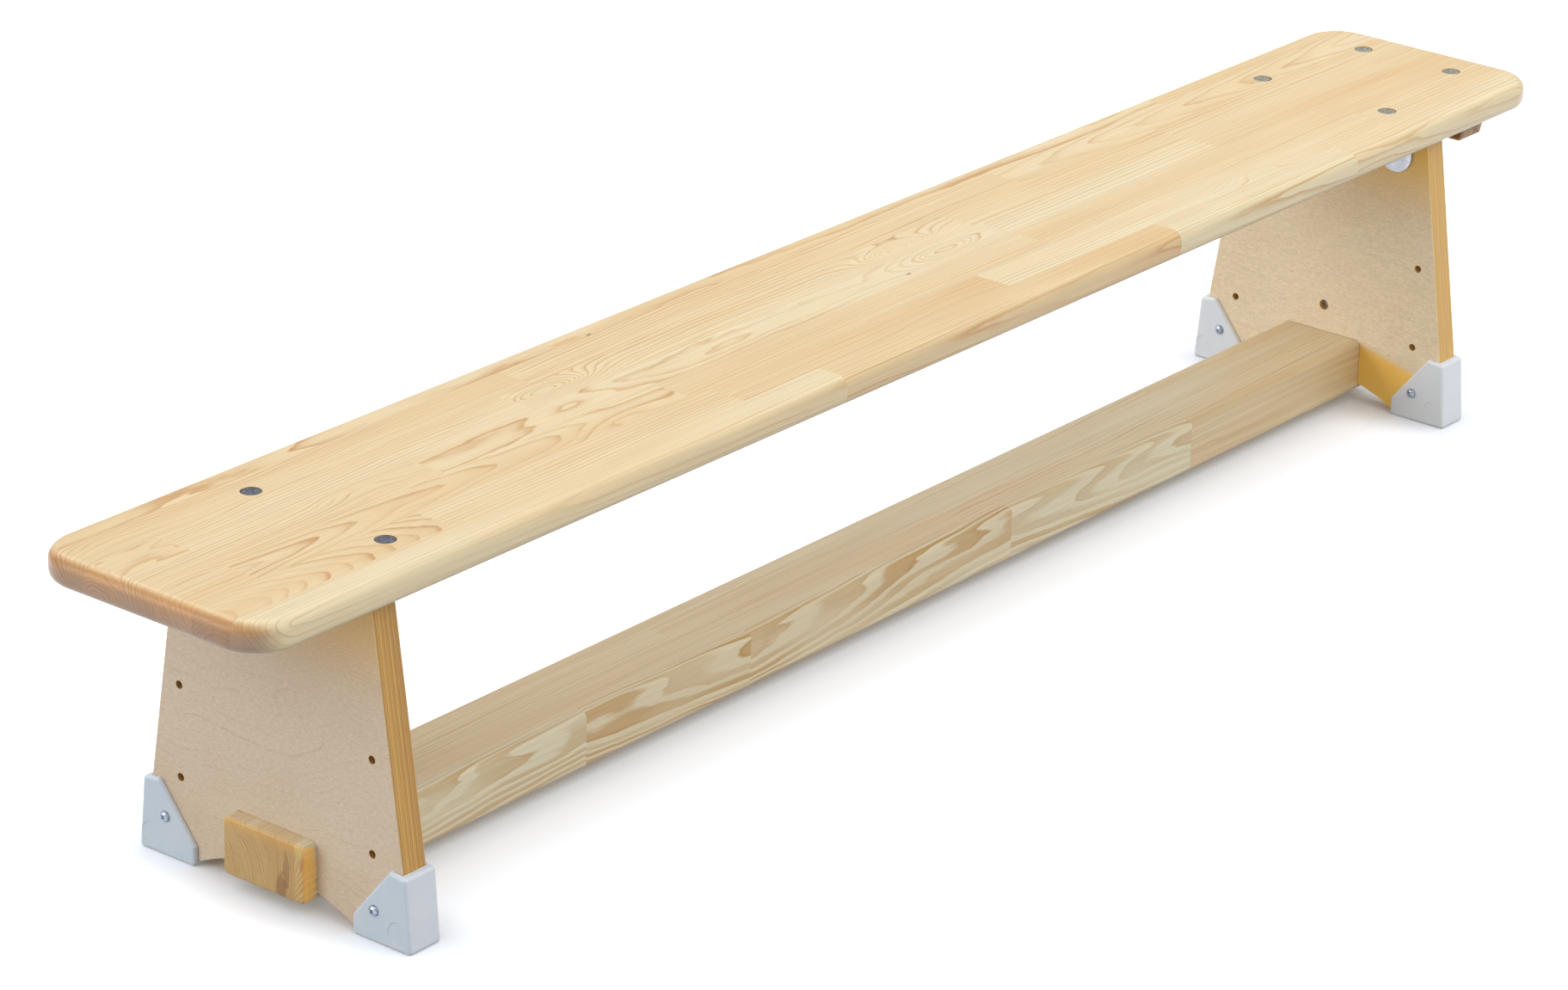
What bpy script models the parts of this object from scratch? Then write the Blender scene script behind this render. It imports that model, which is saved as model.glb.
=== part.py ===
"""A two metre gymnastics bench: a pine seat on two plywood end legs, a narrow balance beam through
the feet of the legs, and a hook batten under one end. Metres, +Z up, X along the bench, Y across it.
The origin is on the floor under the middle of the seat."""
import math

import bmesh
import bpy
from mathutils import Matrix, Vector

# Overall sizes
BENCH_HEIGHT = 0.350
SEAT_LENGTH = 2.000
SEAT_WIDTH = 0.275
SEAT_THICKNESS = 0.030
SEAT_CORNER_RADIUS = 0.045
SEAT_EDGE_RADIUS = 0.011
FIT_GAP = 0.0003

# End legs, upright plywood boards that widen towards the floor
LEG_THICKNESS = 0.030
LEG_SETBACK = 0.159
LEG_SIDE_SETBACK = 0.022
LEG_FLARE = 0.0465
LEG_EDGE_BEVEL = 0.001
ARCH_RISE = 0.023
ARCH_FOOT_MARGIN = 0.0025
SIDE_HOLE_DIAMETER = 0.008
SIDE_HOLE_INSET = 0.0213
SIDE_HOLE_HEIGHTS = {"lower": 0.0815, "upper": 0.172}

# Balance beam, held in a notch in the lower edge of each leg
BEAM_WIDTH = 0.099
BEAM_HEIGHT = 0.057
BEAM_CLEARANCE = 0.0145
BEAM_OVERHANG = 0.016
BEAM_EDGE_RADIUS = 0.005

# Feet, moulded caps over the lower corners of the legs
FOOT_SOLE = 0.005
FOOT_FACE_WALL = 0.005
FOOT_SIDE_WALL_BOTTOM = 0.0025
FOOT_SIDE_WALL_TOP = 0.007
FOOT_HEIGHT = 0.072
FOOT_TOP_RISE = 0.0025
FOOT_TOP_LENGTH = 0.019
FOOT_BASE_LENGTH = 0.069
FOOT_INNER_HEIGHT = 0.0195
FOOT_EDGE_RADIUS = 0.002
FOOT_SCREW_INSETS = {"front": 0.026, "back": 0.0353}
FOOT_SCREW_HEIGHTS = {"front": 0.0313, "back": 0.0398}
FOOT_SCREW_SHANK = 0.0045
FOOT_SCREW_HEAD = 0.0105
FOOT_SCREW_HEAD_HEIGHT = 0.0032
FOOT_SCREW_LENGTH = 0.017

# Angle brackets between the seat and the inner faces of the legs
BRACKET_WIDTH = 0.040
BRACKET_THICKNESS = 0.004
BRACKET_SEAT_ARM = 0.047
BRACKET_LEG_ARM = 0.044
BRACKET_BEND_RADIUS = 0.002
BRACKET_END_FLAT = 0.001
BRACKET_INSET = 0.0355
BRACKET_SCREW_SHANK = 0.005
BRACKET_SCREW_HEAD = 0.010
BRACKET_SCREW_HEAD_HEIGHT = 0.003
BRACKET_SCREW_LENGTH = 0.022

# Bolts with round flat heads let into the seat
BOLT_SHANK = 0.008
BOLT_HEAD = 0.020
BOLT_HEAD_THICKNESS = 0.0045
BOLT_HEAD_DROP = 0.0004
BOLT_EDGE = 0.0006
BOLT_END_PAST_NUT = 0.003
BOLT_HOLE_PLAY = 0.0005
NUT_ACROSS_FLATS = 0.013
NUT_HEIGHT = 0.0065
WASHER_OUTER = 0.016
WASHER_THICKNESS = 0.0016

# Hook batten under the far end, a leaning strip that catches on a rung
BATTEN_SIDE_SETBACK = 0.0475
BATTEN_WIDTH = 0.043
BATTEN_HEIGHT = 0.036
BATTEN_LEAN = math.radians(24)
BATTEN_EDGE_BEVEL = 0.0015
BATTEN_BOLT_FROM_END = 0.0535
BATTEN_BOLT_FROM_SIDE = 0.03325
BATTEN_BOLT_FROM_EDGE = 0.012
BATTEN_POCKET_DIAMETER = 0.020
BATTEN_POCKET_DEPTH = 0.011

# Upright bolt at each end of the beam, caught by a barrel nut in the leg
BEAM_BOLT_SHANK = 0.006
BEAM_BOLT_HEAD = 0.012
BEAM_BOLT_HEAD_HEIGHT = 0.004
BEAM_BOLT_PAST_NUT = 0.002
BEAM_BOLT_HOLE_END = 0.003
BEAM_POCKET_DIAMETER = 0.016
BEAM_POCKET_DEPTH = 0.010
BEAM_WASHER_OUTER = 0.0145
BEAM_WASHER_THICKNESS = 0.0016
BARREL_NUT_DIAMETER = 0.011
BARREL_NUT_LENGTH = 0.016
BARREL_NUT_ABOVE_BEAM = 0.030

# Smoothness of the round shapes
ROUND_STEPS = 24
SMALL_ROUND_STEPS = 16
SCREW_STEPS = 12
CORNER_STEPS = 8
BEND_STEPS = 4
ARCH_STEPS = 14
EDGE_SEGMENTS = 3
FOOT_EDGE_SEGMENTS = 2
SEAT_EDGE_SEGMENTS = 5
CUT_OVERRUN = 0.005
WELD_DISTANCE = 0.00001

# Places that follow from the sizes above
SEAT_UNDERSIDE = BENCH_HEIGHT - SEAT_THICKNESS
LEG_OUTER = SEAT_LENGTH / 2 - LEG_SETBACK
LEG_INNER = LEG_OUTER - LEG_THICKNESS
LEG_MIDDLE = LEG_OUTER - LEG_THICKNESS / 2
LEG_BOTTOM = FOOT_SOLE
LEG_TOP = SEAT_UNDERSIDE - FIT_GAP
LEG_TOP_WIDTH = SEAT_WIDTH - 2 * LEG_SIDE_SETBACK
LEG_BOTTOM_WIDTH = LEG_TOP_WIDTH + 2 * LEG_FLARE
BEAM_TOP = BEAM_CLEARANCE + BEAM_HEIGHT
BEAM_POCKET_ROOF = BEAM_CLEARANCE + BEAM_POCKET_DEPTH
BARREL_NUT_CENTRE = BEAM_TOP + BARREL_NUT_ABOVE_BEAM
BEAM_BOLT_END = BARREL_NUT_CENTRE + BARREL_NUT_DIAMETER / 2 + BEAM_BOLT_PAST_NUT
BRACKET_TOP = SEAT_UNDERSIDE - FIT_GAP
BRACKET_BACK = LEG_INNER - FIT_GAP
BRACKET_SPREAD = LEG_TOP_WIDTH - 2 * BRACKET_INSET
BRACKET_SCREW_PLACE = SEAT_UNDERSIDE - (BRACKET_LEG_ARM - BRACKET_WIDTH / 2)
SEAT_BOLT_PLACE = LEG_INNER - (BRACKET_SEAT_ARM - BRACKET_WIDTH / 2)
BATTEN_BOLT_PLACE = SEAT_LENGTH / 2 - BATTEN_BOLT_FROM_END
BATTEN_LENGTH = SEAT_WIDTH - 2 * BATTEN_SIDE_SETBACK
BATTEN_BOLT_SPREAD = BATTEN_LENGTH - 2 * BATTEN_BOLT_FROM_SIDE
BATTEN_TOP = SEAT_UNDERSIDE - FIT_GAP
BATTEN_BOTTOM = BATTEN_TOP - BATTEN_HEIGHT
ENDS = {"near": -1, "far": 1}
SIDES = {"front": -1, "back": 1}

# Turns X to Y, Y to Z and Z to X, so an outline drawn flat stands across the bench
ACROSS = Matrix(((0, 0, 1, 0), (1, 0, 0, 0), (0, 1, 0, 0), (0, 0, 0, 1)))
# Turns Y to Z and Z to -Y, so an outline drawn flat stands along the bench
ALONG = Matrix.Rotation(math.pi / 2, 4, "X")


def clear_scene():
    for item in list(bpy.data.objects):
        bpy.data.objects.remove(item, do_unlink=True)


def make_collection(name):
    collection = bpy.data.collections.new(name)
    bpy.context.scene.collection.children.link(collection)
    return collection


def make_material(name, color, roughness, metallic=0.0):
    material = bpy.data.materials.new(name)
    material.use_nodes = True
    shader = material.node_tree.nodes["Principled BSDF"]
    shader.inputs["Base Color"].default_value = (*color, 1.0)
    shader.inputs["Roughness"].default_value = roughness
    shader.inputs["Metallic"].default_value = metallic
    return material


def add_object(name, mesh, collection, place=None):
    """Links a mesh or a curve into a collection as a new object."""
    item = bpy.data.objects.new(name, mesh)
    collection.objects.link(item)
    if place is not None:
        item.matrix_world = place
    return item


def finish(item, material):
    """Gives a sub-part its material, and shades its round faces smooth."""
    item.data.materials.clear()
    item.data.materials.append(material)
    item.data.shade_smooth()
    item.data.set_sharp_from_angle(angle=math.radians(35))
    return item


def evaluated_mesh(item):
    """A plain mesh of an object with its modifiers applied, in the object's own space."""
    bpy.context.view_layer.update()
    graph = bpy.context.evaluated_depsgraph_get()
    return bpy.data.meshes.new_from_object(item.evaluated_get(graph), depsgraph=graph)


def copies(pattern, places, collection, material):
    """One object for each name and place, all sharing the pattern's mesh. The pattern goes."""
    mesh = evaluated_mesh(pattern)
    bpy.data.objects.remove(pattern, do_unlink=True)
    return [finish(add_object(name, mesh, collection, place), material)
            for name, place in places.items()]


def arc_points(centre, radius, start, end, steps):
    """Points on an arc about a centre, from one angle to another."""
    turns = [start + (end - start) * step / steps for step in range(steps + 1)]
    return [(centre[0] + radius * math.cos(turn), centre[1] + radius * math.sin(turn)) for turn in turns]


def rounded_rectangle(length, width, radius, steps):
    """A rectangle about the origin with round corners."""
    points = []
    for quarter, (side_x, side_y) in enumerate(((1, 1), (-1, 1), (-1, -1), (1, -1))):
        centre = (side_x * (length / 2 - radius), side_y * (width / 2 - radius))
        start = quarter * math.pi / 2
        points += arc_points(centre, radius, start, start + math.pi / 2, steps)
    return points


def extruded(name, outline, thickness, collection, place=None):
    """A flat outline made into a board of the given thickness, half of it on each side."""
    curve = bpy.data.curves.new(name + "_outline", "CURVE")
    curve.dimensions = "2D"
    curve.fill_mode = "BOTH"
    curve.extrude = thickness / 2
    spline = curve.splines.new("POLY")
    spline.points.add(len(outline) - 1)
    for point, (x, y) in zip(spline.points, outline):
        point.co = (x, y, 0.0, 1.0)
    spline.use_cyclic_u = True
    drawn = add_object(name + "_outline", curve, collection)
    mesh = evaluated_mesh(drawn)
    bpy.data.objects.remove(drawn, do_unlink=True)
    solid = bmesh.new()
    solid.from_mesh(mesh)
    bmesh.ops.remove_doubles(solid, verts=solid.verts, dist=WELD_DISTANCE)
    bmesh.ops.dissolve_limit(solid, angle_limit=math.radians(0.5), verts=solid.verts, edges=solid.edges)
    bmesh.ops.recalc_face_normals(solid, faces=solid.faces)
    solid.to_mesh(mesh)
    solid.free()
    mesh.name = name
    return add_object(name, mesh, collection, place)


def round_bar(name, radius, length, steps, collection, place):
    """A closed round bar about a place's own Z axis, half of its length on each side."""
    bar = bmesh.new()
    bmesh.ops.create_cone(bar, cap_ends=True, segments=steps, radius1=radius, radius2=radius, depth=length)
    mesh = bpy.data.meshes.new(name)
    bar.to_mesh(mesh)
    bar.free()
    return add_object(name, mesh, collection, place)


def turned(name, profile, steps, collection):
    """A profile of (radius, height) points, from the top down its outer side, turned about Z.
    A profile that starts away from the axis is closed into a ring."""
    mesh = bpy.data.meshes.new(name)
    line = bmesh.new()
    corners = [line.verts.new((radius, 0.0, height)) for radius, height in profile]
    for first, second in zip(corners, corners[1:]):
        line.edges.new((first, second))
    if profile[0][0] > 0.0:
        line.edges.new((corners[-1], corners[0]))
    line.to_mesh(mesh)
    line.free()
    item = add_object(name, mesh, collection)
    screw = item.modifiers.new("turn", "SCREW")
    screw.axis = "Z"
    screw.angle = 2 * math.pi
    screw.steps = steps
    screw.render_steps = steps
    screw.use_merge_vertices = True
    screw.merge_threshold = WELD_DISTANCE
    return item


def round_edges(item, width, segments, sharpest=math.radians(40)):
    bevel = item.modifiers.new("rounded_edges", "BEVEL")
    bevel.width = width
    bevel.segments = segments
    bevel.limit_method = "ANGLE"
    bevel.angle_limit = sharpest
    return item


def cut_by(item, cutter):
    cutter.hide_render = True
    cutter.display_type = "WIRE"
    cut = item.modifiers.new("cut_" + cutter.name, "BOOLEAN")
    cut.operation = "DIFFERENCE"
    cut.solver = "EXACT"
    cut.object = cutter
    return item


def drill(item, name, diameter, start, end, cutters, steps=SMALL_ROUND_STEPS):
    """Cuts a round hole into an item between two points."""
    start, end = Vector(start), Vector(end)
    turn = (end - start).to_track_quat("Z", "Y").to_matrix().to_4x4()
    place = Matrix.Translation((start + end) / 2) @ turn
    return cut_by(item, round_bar(name, diameter / 2, (end - start).length, steps, cutters, place))


def facing_x(x, y, z, direction):
    """Puts a piece's own +Z along +X or -X at a place."""
    return Matrix.Translation((x, y, z)) @ Matrix.Rotation(direction * math.pi / 2, 4, "Y")


def seat_bolt_places():
    return {f"{end_name}_{side_name}": (end * SEAT_BOLT_PLACE, side * BRACKET_SPREAD / 2)
            for end_name, end in ENDS.items() for side_name, side in SIDES.items()}


def batten_bolt_places():
    return {side_name: (BATTEN_BOLT_PLACE, side * BATTEN_BOLT_SPREAD / 2)
            for side_name, side in SIDES.items()}


def leg_half_width(height):
    """Half the leg's width at a height above the floor."""
    share = (height - LEG_BOTTOM) / (SEAT_UNDERSIDE - LEG_BOTTOM)
    return (LEG_BOTTOM_WIDTH + (LEG_TOP_WIDTH - LEG_BOTTOM_WIDTH) * share) / 2


def foot_outline():
    """Corners of a foot seen along the bench, on the +Y side: out along the floor, up the side,
    in along the top, down the slanted edge and down the short inner edge."""
    outer_bottom = leg_half_width(0) + FOOT_SIDE_WALL_BOTTOM
    outer_top = leg_half_width(FOOT_HEIGHT) + FOOT_SIDE_WALL_TOP
    inner = outer_bottom - FOOT_BASE_LENGTH
    return [(inner, 0), (outer_bottom, 0), (outer_top, FOOT_HEIGHT),
            (outer_top - FOOT_TOP_LENGTH, FOOT_HEIGHT + FOOT_TOP_RISE), (inner, FOOT_INNER_HEIGHT)]


def foot_screw_place(side_name):
    """Where a foot's screws sit across the bench and above the floor."""
    inner = foot_outline()[0][0]
    return SIDES[side_name] * (inner + FOOT_SCREW_INSETS[side_name]), FOOT_SCREW_HEIGHTS[side_name]


def leg_outline():
    """The leg seen along the bench, with the low arch between the feet."""
    half_span = foot_outline()[0][0] - ARCH_FOOT_MARGIN
    radius = (half_span ** 2 + ARCH_RISE ** 2) / (2 * ARCH_RISE)
    centre = (0, LEG_BOTTOM + ARCH_RISE - radius)
    reach = math.asin(half_span / radius)
    arch = arc_points(centre, radius, math.pi / 2 + reach, math.pi / 2 - reach, ARCH_STEPS)
    half_top, half_bottom = leg_half_width(LEG_TOP), leg_half_width(LEG_BOTTOM)
    return arch + [(half_bottom, LEG_BOTTOM), (half_top, LEG_TOP), (-half_top, LEG_TOP),
                   (-half_bottom, LEG_BOTTOM)]


def mirrored(outline):
    """The outline on the other side of the bench's middle, in the same winding."""
    return [(-y, z) for y, z in reversed(outline)]


def build_seat(parts, cutters, material):
    outline = rounded_rectangle(SEAT_LENGTH, SEAT_WIDTH, SEAT_CORNER_RADIUS, CORNER_STEPS)
    middle = Matrix.Translation((0, 0, BENCH_HEIGHT - SEAT_THICKNESS / 2))
    seat = extruded("seat_board", outline, SEAT_THICKNESS, parts, middle)
    round_edges(seat, SEAT_EDGE_RADIUS, SEAT_EDGE_SEGMENTS)
    head_floor = BENCH_HEIGHT - BOLT_HEAD_DROP - BOLT_HEAD_THICKNESS - FIT_GAP
    for number, (x, y) in enumerate([*seat_bolt_places().values(), *batten_bolt_places().values()]):
        drill(seat, f"seat_head_pocket_{number}", BOLT_HEAD + 2 * FIT_GAP, (x, y, head_floor),
              (x, y, BENCH_HEIGHT + CUT_OVERRUN), cutters, ROUND_STEPS)
        drill(seat, f"seat_bolt_hole_{number}", BOLT_SHANK + 2 * BOLT_HOLE_PLAY,
              (x, y, SEAT_UNDERSIDE - CUT_OVERRUN), (x, y, head_floor + BOLT_HEAD_THICKNESS / 2), cutters)
    return finish(seat, material)


def build_leg(end_name, parts, cutters, material):
    end = ENDS[end_name]
    name = "end_leg_" + end_name
    middle = Matrix.Translation((end * LEG_MIDDLE, 0, 0))
    leg = extruded(name, leg_outline(), LEG_THICKNESS, parts, middle @ ACROSS)
    round_edges(leg, LEG_EDGE_BEVEL, 1)
    # The notch is the beam's own section with a fitting gap all round
    section = rounded_rectangle(BEAM_WIDTH + 2 * FIT_GAP, BEAM_HEIGHT + 2 * FIT_GAP,
                                BEAM_EDGE_RADIUS + FIT_GAP, EDGE_SEGMENTS)
    beam_middle = Matrix.Translation((0, 0, BEAM_CLEARANCE + BEAM_HEIGHT / 2))
    cut_by(leg, extruded(name + "_notch", section, LEG_THICKNESS + 2 * CUT_OVERRUN, cutters,
                         middle @ beam_middle @ ACROSS))
    outside, inside = end * (LEG_OUTER + CUT_OVERRUN), end * (LEG_INNER - CUT_OVERRUN)
    for side_name, side in SIDES.items():
        y = side * (leg_half_width(max(SIDE_HOLE_HEIGHTS.values())) - SIDE_HOLE_INSET)
        for level, height in SIDE_HOLE_HEIGHTS.items():
            drill(leg, f"{name}_side_hole_{side_name}_{level}", SIDE_HOLE_DIAMETER,
                  (outside, y, height), (inside, y, height), cutters)
        y = side * BRACKET_SPREAD / 2
        tip = end * (LEG_INNER - BRACKET_THICKNESS + BRACKET_SCREW_LENGTH + FIT_GAP)
        drill(leg, f"{name}_bracket_pilot_{side_name}", BRACKET_SCREW_SHANK + 2 * FIT_GAP,
              (inside, y, BRACKET_SCREW_PLACE), (tip, y, BRACKET_SCREW_PLACE), cutters, SCREW_STEPS)
        y, z = foot_screw_place(side_name)
        for face_name, face in (("outer", end), ("inner", -end)):
            tip = LEG_THICKNESS / 2 + FOOT_FACE_WALL - FOOT_SCREW_LENGTH - FIT_GAP
            drill(leg, f"{name}_foot_pilot_{side_name}_{face_name}", FOOT_SCREW_SHANK + 2 * FIT_GAP,
                  (end * LEG_MIDDLE + face * (LEG_THICKNESS / 2 + CUT_OVERRUN), y, z),
                  (end * LEG_MIDDLE + face * tip, y, z), cutters, SCREW_STEPS)
    barrel_end = end * (LEG_MIDDLE + BARREL_NUT_LENGTH / 2 + FIT_GAP)
    drill(leg, name + "_barrel_hole", BARREL_NUT_DIAMETER + 2 * FIT_GAP,
          (inside, 0, BARREL_NUT_CENTRE), (barrel_end, 0, BARREL_NUT_CENTRE), cutters, ROUND_STEPS)
    drill(leg, name + "_bolt_hole", BEAM_BOLT_SHANK + 2 * BOLT_HOLE_PLAY,
          (end * LEG_MIDDLE, 0, BEAM_TOP - CUT_OVERRUN),
          (end * LEG_MIDDLE, 0, BEAM_BOLT_END + BEAM_BOLT_HOLE_END), cutters)
    return finish(leg, material)


def build_beam(parts, cutters, material):
    block = bmesh.new()
    length = 2 * (LEG_OUTER + BEAM_OVERHANG)
    bmesh.ops.create_cube(block, size=1.0, matrix=Matrix.Diagonal((length, BEAM_WIDTH, BEAM_HEIGHT, 1)))
    mesh = bpy.data.meshes.new("balance_beam")
    block.to_mesh(mesh)
    block.free()
    beam = add_object("balance_beam", mesh, parts,
                      Matrix.Translation((0, 0, BEAM_CLEARANCE + BEAM_HEIGHT / 2)))
    round_edges(beam, BEAM_EDGE_RADIUS, EDGE_SEGMENTS)
    for end_name, end in ENDS.items():
        x = end * LEG_MIDDLE
        drill(beam, "beam_pocket_" + end_name, BEAM_POCKET_DIAMETER,
              (x, 0, BEAM_CLEARANCE - CUT_OVERRUN), (x, 0, BEAM_POCKET_ROOF), cutters)
        drill(beam, "beam_bolt_hole_" + end_name, BEAM_BOLT_SHANK + 2 * BOLT_HOLE_PLAY,
              (x, 0, BEAM_POCKET_ROOF - BEAM_POCKET_DEPTH / 2), (x, 0, BEAM_TOP + CUT_OVERRUN), cutters)
    return finish(beam, material)


def build_foot(end_name, side_name, parts, cutters, material):
    name = f"foot_{end_name}_{side_name}"
    middle = Matrix.Translation((ENDS[end_name] * LEG_MIDDLE, 0, 0))
    thickness = LEG_THICKNESS + 2 * FOOT_FACE_WALL
    # The slot is the leg's own corner with a fitting gap, open upwards and towards the arch
    floor = LEG_BOTTOM - FIT_GAP
    top = FOOT_HEIGHT + FOOT_TOP_RISE + CUT_OVERRUN
    open_side = foot_outline()[0][0] - CUT_OVERRUN
    slot = [(open_side, floor), (leg_half_width(floor) + FIT_GAP, floor),
            (leg_half_width(top) + FIT_GAP, top), (open_side, top)]
    outline = foot_outline()
    if SIDES[side_name] < 0:
        outline, slot = mirrored(outline), mirrored(slot)
    foot = extruded(name, outline, thickness, parts, middle @ ACROSS)
    round_edges(foot, FOOT_EDGE_RADIUS, FOOT_EDGE_SEGMENTS)
    cut_by(foot, extruded(name + "_slot", slot, LEG_THICKNESS + 2 * FIT_GAP, cutters, middle @ ACROSS))
    y, z = foot_screw_place(side_name)
    drill(foot, name + "_screw_hole", FOOT_SCREW_SHANK + 2 * FIT_GAP,
          (ENDS[end_name] * LEG_MIDDLE - thickness, y, z),
          (ENDS[end_name] * LEG_MIDDLE + thickness, y, z), cutters, SCREW_STEPS)
    return finish(foot, material)


def screw_pattern(name, shank, head, head_height, length, collection):
    """A domed wood screw: the head stands on Z = 0, and the shank points down to a short tip."""
    profile = [(0, head_height), (0.45 * head / 2, 0.96 * head_height), (0.76 * head / 2, 0.72 * head_height),
               (0.94 * head / 2, 0.36 * head_height), (head / 2, 0), (shank / 2, 0),
               (shank / 2, shank - length), (0, -length)]
    return turned(name, profile, SCREW_STEPS, collection)


def build_foot_screws(parts, material):
    places = {}
    for end_name, end in ENDS.items():
        for side_name in SIDES:
            y, z = foot_screw_place(side_name)
            for face_name, face in (("outer", end), ("inner", -end)):
                x = end * LEG_MIDDLE + face * (LEG_THICKNESS / 2 + FOOT_FACE_WALL + FIT_GAP)
                places[f"foot_screw_{end_name}_{side_name}_{face_name}"] = facing_x(x, y, z, face)
    screw = screw_pattern("foot_screw", FOOT_SCREW_SHANK, FOOT_SCREW_HEAD, FOOT_SCREW_HEAD_HEIGHT,
                          FOOT_SCREW_LENGTH, parts)
    return copies(screw, places, parts, material)


def build_bracket(end_name, side_name, parts, cutters, material):
    """An angle bracket with one arm under the seat and one down the leg, each with a round end."""
    end = ENDS[end_name]
    name = f"angle_bracket_{end_name}_{side_name}"
    y = SIDES[side_name] * BRACKET_SPREAD / 2
    thick = BRACKET_THICKNESS
    outer_bend, inner_bend = BRACKET_BEND_RADIUS + thick, BRACKET_BEND_RADIUS
    bend = (-outer_bend, -outer_bend)
    seat_arm, leg_arm = BRACKET_SEAT_ARM - FIT_GAP, BRACKET_LEG_ARM - FIT_GAP
    profile = ([(-seat_arm, -thick)] + arc_points(bend, inner_bend, math.pi / 2, 0, BEND_STEPS)
               + [(-thick, -leg_arm), (0, -leg_arm)]
               + arc_points(bend, outer_bend, 0, math.pi / 2, BEND_STEPS) + [(-seat_arm, 0)])
    turn = Matrix.Identity(4) if end > 0 else Matrix.Rotation(math.pi, 4, "Z")
    place = Matrix.Translation((end * BRACKET_BACK, y, BRACKET_TOP)) @ turn @ ALONG
    bracket = extruded(name, profile, BRACKET_WIDTH, parts, place)
    # The two short edges at each arm's end are rounded until they nearly meet
    solid = bmesh.new()
    solid.from_mesh(bracket.data)
    corners = [edge for edge in solid.edges
               if abs(edge.calc_length() - thick) < WELD_DISTANCE
               and min(edge.verts[0].co.x, edge.verts[0].co.y, edge.verts[1].co.x, edge.verts[1].co.y)
               < -max(outer_bend, min(seat_arm, leg_arm) - thick)]
    bmesh.ops.bevel(solid, geom=corners, offset=(BRACKET_WIDTH - BRACKET_END_FLAT) / 2,
                    segments=CORNER_STEPS, profile=0.5, affect="EDGES")
    solid.to_mesh(bracket.data)
    solid.free()
    bolt_x = end * SEAT_BOLT_PLACE
    drill(bracket, name + "_bolt_hole", BOLT_SHANK + 2 * BOLT_HOLE_PLAY,
          (bolt_x, y, BRACKET_TOP + CUT_OVERRUN), (bolt_x, y, BRACKET_TOP - thick - CUT_OVERRUN), cutters)
    drill(bracket, name + "_screw_hole", BRACKET_SCREW_SHANK + 2 * FIT_GAP,
          (end * (BRACKET_BACK + CUT_OVERRUN), y, BRACKET_SCREW_PLACE),
          (end * (BRACKET_BACK - thick - CUT_OVERRUN), y, BRACKET_SCREW_PLACE), cutters, SCREW_STEPS)
    return finish(bracket, material)


def build_bracket_screws(parts, material):
    places = {}
    for end_name, end in ENDS.items():
        for side_name, side in SIDES.items():
            x = end * (BRACKET_BACK - BRACKET_THICKNESS - FIT_GAP)
            places[f"bracket_screw_{end_name}_{side_name}"] = facing_x(
                x, side * BRACKET_SPREAD / 2, BRACKET_SCREW_PLACE, -end)
    screw = screw_pattern("bracket_screw", BRACKET_SCREW_SHANK, BRACKET_SCREW_HEAD,
                          BRACKET_SCREW_HEAD_HEIGHT, BRACKET_SCREW_LENGTH, parts)
    return copies(screw, places, parts, material)


def at_tops(prefix, places, height):
    """Named places for pieces that stand upright, with their own origin at a height."""
    return {f"{prefix}_{name}": Matrix.Translation((x, y, height)) for name, (x, y) in places.items()}


def build_bolts(prefix, places, end_height, parts, material):
    """Bolts with round flat heads just below the seat's surface, down to a given height."""
    head_top = BENCH_HEIGHT - BOLT_HEAD_DROP
    length = head_top - end_height
    profile = [(0, 0), (BOLT_HEAD / 2 - BOLT_EDGE, 0), (BOLT_HEAD / 2, -BOLT_EDGE),
               (BOLT_HEAD / 2, -BOLT_HEAD_THICKNESS), (BOLT_SHANK / 2, -BOLT_HEAD_THICKNESS),
               (BOLT_SHANK / 2, BOLT_EDGE - length), (BOLT_SHANK / 2 - BOLT_EDGE, -length), (0, -length)]
    bolt = turned(prefix, profile, ROUND_STEPS, parts)
    return copies(bolt, at_tops(prefix, places, head_top), parts, material)


def build_washers(prefix, outer, shank, thickness, places, top, parts, material):
    """Flat rings whose upper faces are at a given height."""
    inner = shank / 2 + BOLT_HOLE_PLAY
    profile = [(inner, 0), (outer / 2, 0), (outer / 2, -thickness), (inner, -thickness)]
    ring = turned(prefix, profile, SMALL_ROUND_STEPS, parts)
    return copies(ring, at_tops(prefix, places, top), parts, material)


def build_nuts(prefix, places, top, parts, cutters, material):
    """Hexagon nuts whose upper faces are at a given height."""
    across_corners = NUT_ACROSS_FLATS / math.cos(math.pi / 6)
    nut = round_bar(prefix, across_corners / 2, NUT_HEIGHT, 6, parts, Matrix.Identity(4))
    drill(nut, prefix + "_bore", BOLT_SHANK + 2 * FIT_GAP, (0, 0, NUT_HEIGHT), (0, 0, -NUT_HEIGHT), cutters)
    return copies(nut, at_tops(prefix, places, top - NUT_HEIGHT / 2), parts, material)


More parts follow.
